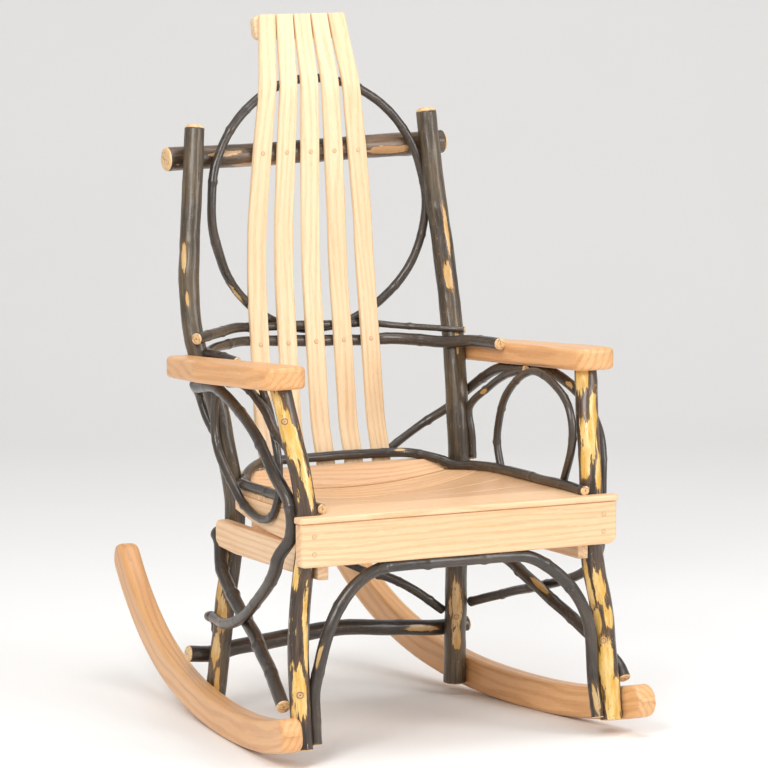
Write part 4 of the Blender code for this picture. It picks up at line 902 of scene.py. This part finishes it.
def fine_log(node, mat, seed, sides=32, step=0.003, patches=(), knots=(), chamfer=0.0020, nodes=0.085,
             swell=0.10, crook=0.0008, flare=0.0):
    """The fine model of a log or branch.

    A patch is (place, direction, half length, half width); a knot is (place, direction,
    radius). A place is a height on upright logs and a share of the length on branches."""
    log = SHAPES[node]
    upright = any(k in node for k in ("leg", "post"))
    run = sum((b - a).length for a, b in zip(log.path, log.path[1:]))
    count = max(24, int(run / step))
    pts, knots_at = spline(log.points, count, log.closed)
    path = np.array([p + SHIFT for p in pts])
    radius = np.interp(knots_at, range(len(log.radii)), log.radii)
    if log.closed:
        wrap = list(log.radii) + [log.radii[0]]
        radius = np.interp(knots_at, range(len(wrap)), wrap)
    tan, side, up = carried_frames(path, log.closed)
    s = np.concatenate([[0], np.cumsum(np.linalg.norm(np.diff(path, axis=0), axis=1))])
    total = s[-1]
    rng = np.random.default_rng(seed)
    # a natural crook, gone at the ends
    fade = np.minimum(1, np.minimum(s, total - s) / 0.05)
    for vec, k in ((side, 1), (up, 2)):
        wob = noise3(np.stack([s / 0.045, s * 0 + k * 7.3, s * 0 + seed], 1), seed) - 0.5
        path = path + vec * (wob * 2 * crook * fade)[:, None]
    theta = np.arange(sides) * 2 * math.pi / sides
    cos, sin = np.cos(theta), np.sin(theta)
    rim = side[:, None] * cos[None, :, None] + up[:, None] * sin[None, :, None]
    r = radius[:, None] * np.ones((1, sides))
    ss = np.repeat(s[:, None], sides, 1)
    x, y = radius[:, None] * cos, radius[:, None] * sin
    if log.closed:      # sample the noise on a loop so that the seam meets
        loop = s / (total + step) * 2 * math.pi
        big = (total + step) / (2 * math.pi)
        far = np.repeat((np.cos(loop) * big)[:, None], sides, 1)
        off = np.repeat((np.sin(loop) * big)[:, None], sides, 1)
        coords = np.stack([x + far, y, off], -1)
    else:
        coords = np.stack([x, y, ss], -1)
    mean_r = float(radius.mean())
    disp = (noise3(coords / np.array([mean_r * 1.6, mean_r * 1.6, 0.060]), seed) - 0.5) * mean_r * 0.13
    disp += (noise3(coords / np.array([0.006, 0.006, 0.030]), seed + 3) - 0.5) * mean_r * 0.045
    disp += (noise3(coords / np.array([0.0035, 0.0035, 0.012]), seed + 5) - 0.5) * mean_r * 0.022
    # old bud and branch nodes
    at = 0.4 * nodes
    while at < total and nodes:
        a = rng.uniform(0, 2 * math.pi)
        bump = np.exp(-((ss - at) / (mean_r * 0.55)) ** 2)
        turn = 0.35 + 0.65 * (0.5 + 0.5 * np.cos(theta - a))[None, :] ** 2
        disp += bump * turn * mean_r * swell * rng.uniform(0.4, 1.2)
        at += nodes * rng.uniform(0.55, 1.45)
    peel = np.full(r.shape, -1.0)
    knot = np.zeros(r.shape)

    def locate(place, direction):
        i = int(np.argmin(np.abs(path[:, 2] - SHIFT.z - place))) if upright else int(place * (len(s) - 1))
        d = np.array(direction)
        d = d - tan[i] * (d @ tan[i])
        d /= np.linalg.norm(d)
        arc = np.arccos(np.clip((rim * d).sum(-1), -1, 1)) * mean_r
        return ss - s[i], arc
    for place, direction, half_l, half_w in patches:
        ds, arc = locate(place, direction)
        peel = np.maximum(peel, 1 - np.sqrt((ds / half_l) ** 2 + (arc / half_w) ** 2))
    for place, direction, size in knots:
        ds, arc = locate(place, direction)
        d = np.sqrt(ds ** 2 + arc ** 2) / size
        knot = np.maximum(knot, np.clip(1 - d, 0, 1))
        # a swelling with a dimple at its eye
        disp += np.exp(-(d / 1.1) ** 2) * size * 0.24 - np.exp(-(d / 0.22) ** 2) * size * 0.22
    disp -= np.clip((peel + 0.15) / 0.4, 0, 1) * 0.00035
    if flare:
        disp += mean_r * flare * np.exp(-ss / 0.03)
    verts = path[:, None] + rim * (r + disp)[..., None]
    n = len(path)
    rings = [verts[i] for i in range(n)]
    coord = [coords[i] for i in range(n)]
    cuts, peels, knotv = [np.zeros(sides)] * n, list(peel), list(knot)
    if not log.closed:
        def end(i, sign, depth, profile):
            """Rings that close one end: (how far out, share of the radius)."""
            out = []
            for lift, share in profile:
                ring = path[i] + tan[i] * sign * lift * depth + (rings[i] - path[i]) * share
                c = coords[i].copy()
                c[:, :2] *= share
                c[:, 2] += sign * lift * depth
                out.append((ring, c))
            return out
        flat = [(0.0, 1.0), (0.35, 0.975), (0.75, 0.92), (1.0, 0.85), (1.02, 0.70), (1.03, 0.5), (1.0, 0.3),
                (1.0, 0.12)]
        dome = [(0.0, 1.0), (0.18, 0.985), (0.42, 0.93), (0.66, 0.84), (0.84, 0.70), (0.95, 0.52),
                (1.0, 0.32), (1.01, 0.12)]
        top = end(n - 1, 1, log.dome * 1.02 if log.dome else chamfer, dome if log.dome else flat)
        low = end(0, -1, chamfer, flat)
        for ring, c in top:
            rings.append(ring)
            coord.append(c)
        for ring, c in low:
            rings.insert(0, ring)
            coord.insert(0, c)
        m = len(flat)
        cuts = [np.ones(sides)] * m + cuts + [np.ones(sides)] * m
        peels = [peel[0]] * m + peels + [peel[-1]] * m
        knotv = [knot[0] * 0] * m + knotv + [knot[-1] * 0] * m
    total_rings = len(rings)
    faces = []
    for i in range(total_rings if log.closed else total_rings - 1):
        j = (i + 1) % total_rings
        for k in range(sides):
            q = (k + 1) % sides
            faces.append((i * sides + k, i * sides + q, j * sides + q, j * sides + k))
    if not log.closed:
        faces.append(tuple(range(sides))[::-1])
        faces.append(tuple((total_rings - 1) * sides + k for k in range(sides)))
    obj = build(node + "_log", np.concatenate(rings), faces, mat,
                {"cut": np.concatenate(cuts), "peel": np.concatenate(peels), "knot": np.concatenate(knotv)},
                {"bark": np.concatenate(coord) + np.array([0, 0, seed * 3.7])})
    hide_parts(node)


# ---- boards -----------------------------------------------------------------------------
def rounded_section(hw, hh, r, arc=4):
    """Points round a rectangle with rounded corners, with flats kept flat by close loops."""
    r = min(r, hw * 0.98, hh * 0.98)
    e = min(0.0012, (hw - r) * 0.4, (hh - r) * 0.4)
    out = []
    for sx, sy, a0 in ((1, -1, -90), (1, 1, 0), (-1, 1, 90), (-1, -1, 180)):
        cx, cy = sx * (hw - r), sy * (hh - r)
        before = (cx - e, cy - r) if a0 == -90 else (cx + r, cy - e) if a0 == 0 else \
            (cx + e, cy + r) if a0 == 90 else (cx - r, cy + e)
        after = (cx + r, cy + e) if a0 == -90 else (cx - e, cy + r) if a0 == 0 else \
            (cx - r, cy - e) if a0 == 90 else (cx + e, cy - r)
        out.append(before)
        for k in range(arc + 1):
            a = math.radians(a0 + 90 * k / arc)
            out.append((cx + r * math.cos(a), cy + r * math.sin(a)))
        out.append(after)
    return np.array(out)


def bar(name, centre, wide, thick, edge, end, mat, node, seed, wear=0.0004, arc=4):
    """A board along a line: wide and thick are half-size vectors at every station."""
    centre, wide, thick = (np.array(a, float) for a in (centre, wide, thick))
    hw, hh = np.linalg.norm(wide, axis=1), np.linalg.norm(thick, axis=1)
    tan = np.gradient(centre, axis=0)
    tan /= np.linalg.norm(tan, axis=1)[:, None]
    s = np.concatenate([[0], np.cumsum(np.linalg.norm(np.diff(centre, axis=0), axis=1))])
    offset = np.array([seed * 1.7, seed * 0.43, seed * 0.21])

    def ring(i, out=0.0, inset=0.0, c=0.0):
        sec = rounded_section(hw[i] - inset, hh[i] - inset, max(edge - inset, 0.0006), arc)
        pos = (centre[i] + tan[i] * out + np.outer(sec[:, 0] / hw[i], wide[i])
               + np.outer(sec[:, 1] / hh[i], thick[i]))
        g = np.stack([np.full(len(sec), s[i] + out), sec[:, 0], sec[:, 1]], 1)
        wob = (noise3(g / np.array([0.05, 0.02, 0.02]) + offset, seed) - 0.5) * wear
        radial = pos - (centre[i] + tan[i] * out)
        length = np.linalg.norm(radial, axis=1)[:, None] + 1e-9
        return pos + radial / length * wob[:, None], g + offset, np.full(len(sec), c)
    n, steps = len(centre), 4
    turns = [(k, end * (1 - math.sin(math.pi / 2 * k / steps)), end * (1 - math.cos(math.pi / 2 * k / steps)))
             for k in range(steps + 1)]

    def face(i):
        return ring(i, 0.0, min(end + 0.0015, hh[i] * 0.8, hw[i] * 0.8), 1.0)
    items = [face(0)] + [ring(0, out, inset, float(k >= 2)) for k, out, inset in turns[::-1]]
    items += [ring(i) for i in range(n) if end < s[i] < s[-1] - end]
    items += [ring(n - 1, -out, inset, float(k >= 2)) for k, out, inset in turns] + [face(n - 1)]
    m = len(items[0][0])
    faces = []
    for i in range(len(items) - 1):
        for k in range(m):
            q = (k + 1) % m
            faces.append((i * m + k, i * m + q, (i + 1) * m + q, (i + 1) * m + k))
    faces.append(tuple(range(m))[::-1])
    faces.append(tuple((len(items) - 1) * m + k for k in range(m)))
    return outward(build(name, np.concatenate([a for a, _, _ in items]), faces, mat,
                         {"cap": np.concatenate([c for _, _, c in items])},
                         {"grain": np.concatenate([g for _, g, _ in items])}))


def outward(obj):
    """Turn the faces out if they all look in."""
    mesh = obj.data
    volume = 0.0
    for p in mesh.polygons:
        volume += p.center.dot(p.normal) * p.area
    if volume < 0:
        mesh.flip_normals()
    return obj


def inset_outline(points, inset):
    """The outline moved inwards by a distance."""
    n, out = len(points), []
    for i, p in enumerate(points):
        e1, e2 = (p - points[i - 1]).normalized(), (points[(i + 1) % n] - p).normalized()
        n1, n2 = Vector((-e1.y, e1.x)), Vector((-e2.y, e2.x))
        m = (n1 + n2).normalized()
        out.append(p + m * (inset / max(m.dot(n1), 0.5)))
    return out


def slab(name, outline, low, high, edge, mat, seed, place, along, arc=4):
    """A flat board of any outline with rounded edges; along is the grain's direction in it."""
    n = len(outline)
    a = Vector(along).normalized()
    b = Vector((-a.y, a.x))
    pts = [Vector(p) for p in outline]
    side = []
    for i in range(n):
        d = (pts[(i + 1) % n] - pts[i - 1]).normalized()
        side.append(min(1.0, max(0.0, (abs(d.dot(b)) - 0.55) / 0.25)))
    # (height, inset): the roundings have a flat loop on each side
    turns = [math.pi / 2 * k / arc for k in range(arc + 1)]
    rounding = [(edge * (1 - math.sin(a)), edge * (1 - math.cos(a))) for a in turns]
    layers = [(low, edge + 0.0012)]
    layers += [(low + drop, inset) for drop, inset in rounding[::-1]]
    layers += [(low + edge + 0.0008, 0), (high - edge - 0.0008, 0)]
    layers += [(high - drop, inset) for drop, inset in rounding]
    layers.append((high, edge + 0.0012))
    verts, grain, cap = [], [], []
    for h, inset in layers:
        wall = 1.0 if inset < edge * 0.7 else 0.0
        for i, q in enumerate(inset_outline(pts, inset)):
            verts.append(place(q.x, q.y, h) + SHIFT)
            grain.append((q.dot(a) + seed * 1.7, q.dot(b) + seed * 0.43, h + seed * 0.21))
            cap.append(side[i] * wall)
    faces = [tuple(range(n))[::-1], tuple((len(layers) - 1) * n + k for k in range(n))]
    for i in range(len(layers) - 1):
        for k in range(n):
            m = (k + 1) % n
            faces.append((i * n + k, i * n + m, (i + 1) * n + m, (i + 1) * n + k))
    return outward(build(name, np.array(verts), faces, mat, {"cap": cap}, {"grain": grain}))


def dense(points, gap):
    """More points along each side of an outline, so that it follows curves closely."""
    out = []
    pts = [Vector(p) for p in points]
    for a, b in zip(pts, pts[1:] + pts[:1]):
        k = max(1, int((b - a).length / gap))
        out += [a.lerp(b, i / k) for i in range(k)]
    return out


def fine_rocker(s, node, seed):
    """The fine model of a rocker: a bent bar on edge with rounded tips."""
    front, rear = LEGS[s]
    ends = []
    for leg, z in ((front, 0.05), (rear, 0.06)):
        c, r = leg.at(z)
        ends.append(Vector((c.x + s * (r + ROCKER_T / 2 - BITE), c.y)))
    run = (ends[1] - ends[0]).normalized()
    across = Vector((run.y, -run.x)) if s > 0 else Vector((-run.y, run.x))
    base = ends[0] + run * ((ROCKER_MID_Y - ends[0].y) / run.y)
    u0, u1 = (ROCKER_FRONT - ROCKER_MID_Y) / run.y, (ROCKER_REAR - ROCKER_MID_Y) / run.y
    tip = ROCKER_H / 2 * 0.75
    count = 90
    us = []
    for k in range(9):
        us.append(u0 + tip * (1 - math.cos(math.pi / 2 * (k + 0.6) / 9.6)))
    us += list(np.linspace(u0 + tip, u1 - tip, count))
    us += [u1 - (u - u0) for u in us[8::-1]]
    centre, wide, thick = [], [], []
    for u in us:
        slope = 2 * ROCKER_A * u + 4 * ROCKER_B * u ** 3
        n = Vector((-slope, 1)).normalized()
        c = Vector((u, ROCKER_A * u * u + ROCKER_B * u ** 4)) + n * (ROCKER_H / 2)
        d = min(1.0, (u - u0) / tip, (u1 - u) / tip)
        h = ROCKER_H / 2 * math.sqrt(max(1 - (1 - d) ** 2, 0.0))
        w = ROCKER_T / 2 * (0.80 + 0.20 * math.sqrt(max(1 - (1 - d) ** 2, 0.0)))
        p = base + run * c.x
        centre.append(Vector((p.x, p.y, c.y)) + SHIFT)
        wide.append(Vector((across.x, across.y, 0)) * w)
        thick.append(Vector((run.x * n.x, run.y * n.x, n.y)) * max(h, 0.004))
    obj = bar(node + "_board", centre, wide, thick, 0.0095, 0.002, ARM_OAK, node, seed, arc=5)
    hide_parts(node)


def fine_strip(node, mat, seed, count, edge=0.0028, end=0.0022):
    """A bent board: its stations are resampled on smooth curves."""
    st = SHAPES[node].stations
    thick = SHAPES[node].thick
    k = np.linspace(0, len(st) - 1, count)
    cols = []
    for pick in (0, 1, 2):
        pts = [Vector(x[pick]) for x in st]
        arr = np.array([[p[j] for p in pts] for j in range(3)])
        # cubic through the stations
        i = np.clip(np.floor(k).astype(int), 0, len(st) - 2)
        f = k - i
        p0, p1 = arr[:, np.maximum(i - 1, 0)], arr[:, i]
        p2, p3 = arr[:, i + 1], arr[:, np.minimum(i + 2, len(st) - 1)]
        v = 0.5 * (2 * p1 + (p2 - p0) * f + (2 * p0 - 5 * p1 + 4 * p2 - p3) * f ** 2
                   + (3 * p1 - p0 - 3 * p2 + p3) * f ** 3)
        cols.append(v.T)
    c, half_, normal = cols
    normal /= np.linalg.norm(normal, axis=1)[:, None]
    obj = bar(node + "_board", c + np.array(SHIFT), half_, normal * thick / 2, edge, end, mat, node, seed)
    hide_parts(node)


def fine_slab(node, mat, seed, along, edge, gap=0.012):
    """The fine model of a flat board."""
    b = SHAPES[node]
    obj = slab(node + "_board", dense(b.outline, gap), b.low, b.high, edge, mat, seed, b.place, along)
    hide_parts(node)


fine_rocker(-1, "rocker_left", 11)
fine_rocker(1, "rocker_right", 12)
for label, sd in (("left", 13), ("right", 14)):
    fine_slab("arm_" + label, ARM_OAK, sd, (0, 1), edge=0.0075)
fine_slab("front_rail", RAIL_OAK, 15, (1, 0), edge=0.0030)
for label, sd in (("left", 16), ("right", 17)):
    fine_slab("side_rail_" + label, RAIL_OAK, sd, (1, 0), edge=0.0025)
    fine_slab("seat_cleat_" + label, RAIL_OAK, sd + 2, (1, 0), edge=0.0015)
fine_slab("seat_cross_rail", RAIL_OAK, 20, (1, 0), edge=0.0018)
fine_slab("back_rail", RAIL_OAK, 21, (1, 0), edge=0.0030)
fine_slab("seat_slat_1", RAIL_OAK, 22, (1, 0), edge=0.0028)
for i in range(2, SEAT_SLATS + 1):
    fine_strip("seat_slat_%d" % i, SEAT_OAK, 22 + i, 70, edge=0.0024)
fine_slab("crest_rail", SLAT_OAK, 30, (1, 0), edge=0.0040)
for i in range(1, BACK_SLATS + 1):
    fine_strip("back_slat_%d" % i, SLAT_OAK, 30 + i, 150, edge=0.0030)

C, CL, CR = facing(0), facing(-28), facing(28)
fine_log("front_leg_left", LEG_BARK, 1, sides=48, step=0.0026, nodes=0.15, swell=0.05, patches=(
    (0.556, facing(-40), 0.040, 0.011), (0.530, CL, 0.036, 0.015), (0.497, facing(5), 0.040, 0.014),
    (0.462, facing(25), 0.034, 0.008), (0.430, facing(40), 0.030, 0.007), (0.300, facing(-45), 0.026, 0.010),
    (0.240, facing(30), 0.060, 0.0045), (0.185, facing(48), 0.045, 0.005), (0.116, facing(5), 0.046, 0.012),
    (0.070, facing(-35), 0.030, 0.006), (0.40, facing(150), 0.05, 0.012), (0.15, facing(200), 0.05, 0.01)),
    knots=((0.538, facing(-15), 0.0085), (0.113, facing(4), 0.0090)))
fine_log("front_leg_right", LEG_BARK, 2, sides=48, step=0.0026, nodes=0.15, swell=0.05, patches=(
    (0.575, facing(-25), 0.034, 0.014), (0.520, facing(35), 0.042, 0.010), (0.478, facing(5), 0.044, 0.015),
    (0.440, facing(-30), 0.030, 0.012), (0.425, facing(45), 0.034, 0.007), (0.250, facing(-48), 0.050, 0.007),
    (0.238, facing(12), 0.036, 0.011), (0.190, facing(35), 0.020, 0.010), (0.186, facing(-30), 0.022, 0.010),
    (0.110, facing(-5), 0.060, 0.017), (0.060, facing(15), 0.050, 0.018), (0.35, facing(170), 0.06, 0.012),
    (0.12, facing(150), 0.05, 0.011)), knots=((0.153, facing(-8), 0.0075),))
fine_log("rear_post_left", POST_BARK, 3, sides=48, step=0.0028, nodes=0.16, swell=0.05, patches=(
    (0.755, facing(-30), 0.022, 0.005), (0.690, facing(-10), 0.014, 0.003),
    (0.240, facing(-45), 0.045, 0.009),
    (0.165, facing(-10), 0.040, 0.012), (0.115, facing(-30), 0.030, 0.009), (0.055, facing(0), 0.030, 0.006),
    (0.50, facing(160), 0.06, 0.010)))
fine_log("rear_post_right", POST_BARK, 4, sides=48, step=0.0028, nodes=0.16, swell=0.05, patches=(
    (0.775, facing(35), 0.050, 0.0045), (0.705, facing(10), 0.030, 0.008), (0.155, facing(0), 0.048, 0.012),
    (0.100, facing(12), 0.022, 0.009), (0.60, facing(20), 0.03, 0.004), (0.42, facing(150), 0.07, 0.010)),
    knots=((0.135, facing(3), 0.0075),))
fine_log("top_crossbar", BAR_BARK, 5, sides=44, nodes=0.12, swell=0.04, patches=(
    (0.30, Vector((0, -0.5, -0.8)), 0.045, 0.008), (0.18, Vector((0, -1, 0.4)), 0.040, 0.006),
    (0.78, Vector((0, -1, -0.3)), 0.050, 0.007), (0.5, Vector((0, 1, 0)), 0.06, 0.01)), chamfer=0.0035)
fine_log("rear_stretcher", TWIG_BARK, 6, sides=36, nodes=0.11, swell=0.09, patches=(
    (0.83, Vector((-0.3, -1, 0.1)), 0.034, 0.006), (0.35, Vector((0, 1, 0)), 0.05, 0.006)),
    knots=((0.86, Vector((-0.3, -1, 0.1)), 0.0055),), chamfer=0.0028)
for k, (node, gap_, extra) in enumerate((
        ("arm_hoop", 0.10, ()), ("upper_twig", 0.09, ()), ("back_hoop", 0.075, ((0.62, CL, 0.020, 0.0035),)),
        ("seat_hoop", 0.075, ((0.60, Vector((0, -1, 1)), 0.012, 0.003),)),
        ("front_arch", 0.085, ((0.16, CL, 0.022, 0.004), (0.97, C, 0.03, 0.006))),
        ("side_hoop_left", 0.070, ()), ("side_hoop_right", 0.080, ((0.42, C, 0.012, 0.005),)),
        ("side_brace_left", 0.075, ()), ("side_brace_right", 0.080, ((0.55, CR, 0.030, 0.006),)),
        ("rear_brace", 0.075, ()), ("arm_ring_left", 0.070, ()), ("arm_ring_right", 0.080, ()),
        ("arm_arc_left", 0.060, ()), ("arm_arc_right", 0.060, ((0.5, C, 0.01, 0.003),)))):
    fine_log(node, TWIG_BARK, 40 + k, sides=28, step=0.0028, nodes=gap_, swell=0.20, patches=extra,
             crook=0.0012, chamfer=0.0016)


# ---- plugs ------------------------------------------------------------------------------
def disc(name, places, radius, mat, proud=0.0004):
    """Small round plugs set into a surface: (point, outward direction) each."""
    verts, faces, rim, grain = [], [], [], []
    # (share of the radius, height over the surface)
    profile = ((1.0, -0.0012), (1.0, -0.0001), (0.93, 0.0), (0.86, proud), (0.6, proud * 1.15),
               (0.3, proud * 1.25))
    sides = 28
    for i, (point, normal) in enumerate(places):
        n = Vector(normal).normalized()
        a = n.orthogonal().normalized()
        b = n.cross(a)
        start = len(verts)
        for share, lift in profile:
            for k in range(sides):
                t = 2 * math.pi * k / sides
                d = (a * math.cos(t) + b * math.sin(t)) * radius * share
                verts.append(Vector(point) + d + n * lift)
                rim.append(share)
                grain.append((math.cos(t) * radius * share + i * 0.37, math.sin(t) * radius * share,
                              i * 0.11))
        verts.append(Vector(point) + n * proud * 1.3)
        rim.append(0.0)
        grain.append((i * 0.37, 0, i * 0.11))
        last = len(profile) - 1
        for j in range(last):
            for k in range(sides):
                m = (k + 1) % sides
                faces.append((start + j * sides + k, start + j * sides + m,
                              start + (j + 1) * sides + m, start + (j + 1) * sides + k))
        top = start + last * sides
        faces += [(top + k, top + (k + 1) % sides, len(verts) - 1) for k in range(sides)]
        faces.append(tuple(start + k for k in range(sides))[::-1])
    return build(name, np.array(verts), faces, mat, {"rim": rim}, {"grain": grain})


def slat_face(i, z):
    """Point and outward direction on the front of a back slat."""
    d = Vector((0, slat_y(z + 0.01) - slat_y(z - 0.01), 0.02)).normalized()
    n = Vector((0, -d.z, d.y))
    return Vector((slat_x(i, z), slat_y(z), z)) + n * (SLAT_T / 2) + SHIFT, n


rows = (TOP_Z - 0.020, BAR_Z, 0.603)     # at the crest rail, the crossbar and the arm hoop
for i in range(BACK_SLATS):
    node = "back_slat_%d" % (i + 1)
    disc("plugs_" + node, [slat_face(i, z) for z in rows], 0.0042, PLUG)
front = [Vector((x, RAIL_Y0, z)) + SHIFT for x, z in (
    (-0.259, RAIL_Z0 + 0.049), (-0.259, RAIL_Z0 + 0.021), (0.259, RAIL_Z0 + 0.049), (0.259, RAIL_Z0 + 0.021))]
disc("plugs_front_rail", [(p, (0, -1, 0)) for p in front], 0.0046, PLUG)

# ---- setting ----------------------------------------------------------------------------
def pale_floor():
    """A pale sweep: flat under the chair, curving up far behind it."""
    mesh = bpy.data.meshes.new("studio_floor")
    prof = [(-9.0, 0.0), (3.2, 0.0)]
    prof += [(3.2 + 2.4 * math.sin(a), 2.4 * (1 - math.cos(a))) for a in np.linspace(0.1, math.pi / 2, 16)]
    prof += [(5.6, 9.0)]
    verts, faces = [], []
    for y, z in prof:
        verts += [(-12, y, z), (12, y, z)]
    for i in range(len(prof) - 1):
        faces.append((2 * i, 2 * i + 1, 2 * i + 3, 2 * i + 2))
    rot = math.radians(-26.95)                       # the sweep stands square to the view
    cos, sin = math.cos(rot), math.sin(rot)
    verts = [(x * cos - y * sin, x * sin + y * cos, z) for x, y, z in verts]
    mesh.from_pydata(verts, [], faces)
    mesh.shade_smooth()
    t = Tree("pale_floor")
    pos = t.node("NewGeometry").outputs["Position"]
    n = t.noise(t.scaled(pos, (2, 2, 2)), 3.0)
    tone = t.mix(n, (0.90, 0.895, 0.885), (0.93, 0.925, 0.92))
    t.finish(tone, 0.75, t.bump(t.noise(t.scaled(pos, (300, 300, 300)), 2.0), 0.05, 0.0005), spec=0.2)
    mesh.materials.append(t.mat)
    obj = bpy.data.objects.new("studio_floor", mesh)
    bpy.context.scene.collection.objects.link(obj)


pale_floor()


def light(name, place, aim, size, power, color=(1, 1, 1)):
    data = bpy.data.lights.new(name, "AREA")
    data.shape, data.size, data.size_y = "RECTANGLE", size[0], size[1]
    data.energy, data.color = power, color
    obj = bpy.data.objects.new(name, data)
    obj.location = place
    obj.rotation_mode = "QUATERNION"
    obj.rotation_quaternion = (Vector(aim) - Vector(place)).to_track_quat("-Z", "Y")
    bpy.context.scene.collection.objects.link(obj)


MIDDLE = (0, 0, 0.55)
light("key_softbox", (-2.6, -2.6, 2.7), MIDDLE, (1.6, 1.6), 95, (1.0, 0.985, 0.96))
light("right_softbox", (2.2, -3.2, 1.8), MIDDLE, (1.4, 1.8), 60, (0.99, 0.99, 1.0))
light("top_softbox", (0.2, -0.4, 3.6), MIDDLE, (2.2, 2.2), 55)
world = bpy.data.worlds.new("studio")
bpy.context.scene.world = world
world.use_nodes = True
sky = world.node_tree.nodes["Background"].inputs
sky["Color"].default_value, sky["Strength"].default_value = (1.0, 0.995, 0.985, 1), 0.55

# the view: from the chair's front left and a little above, through a long lens
CAMERA_AT, CAMERA_BACK = Vector((-3.595, -7.073, 1.572)), Vector((-0.4495, -0.8841, 0.1278))
LENS, SENSOR, LENS_SHIFT = 231.07, 36.0, (-0.01385, 0.01108)
camera = bpy.data.cameras.new("camera")
cam_obj = bpy.data.objects.new("camera", camera)
bpy.context.scene.collection.objects.link(cam_obj)
bpy.context.scene.camera = cam_obj
cam_obj.location = CAMERA_AT + SHIFT
cam_obj.rotation_mode = "QUATERNION"
cam_obj.rotation_quaternion = (-CAMERA_BACK.normalized()).to_track_quat("-Z", "Y")
camera.sensor_width, camera.lens = SENSOR, LENS
camera.shift_x, camera.shift_y = LENS_SHIFT
camera.clip_start, camera.clip_end = 0.1, 60
bpy.context.scene.view_settings.view_transform = "Standard"
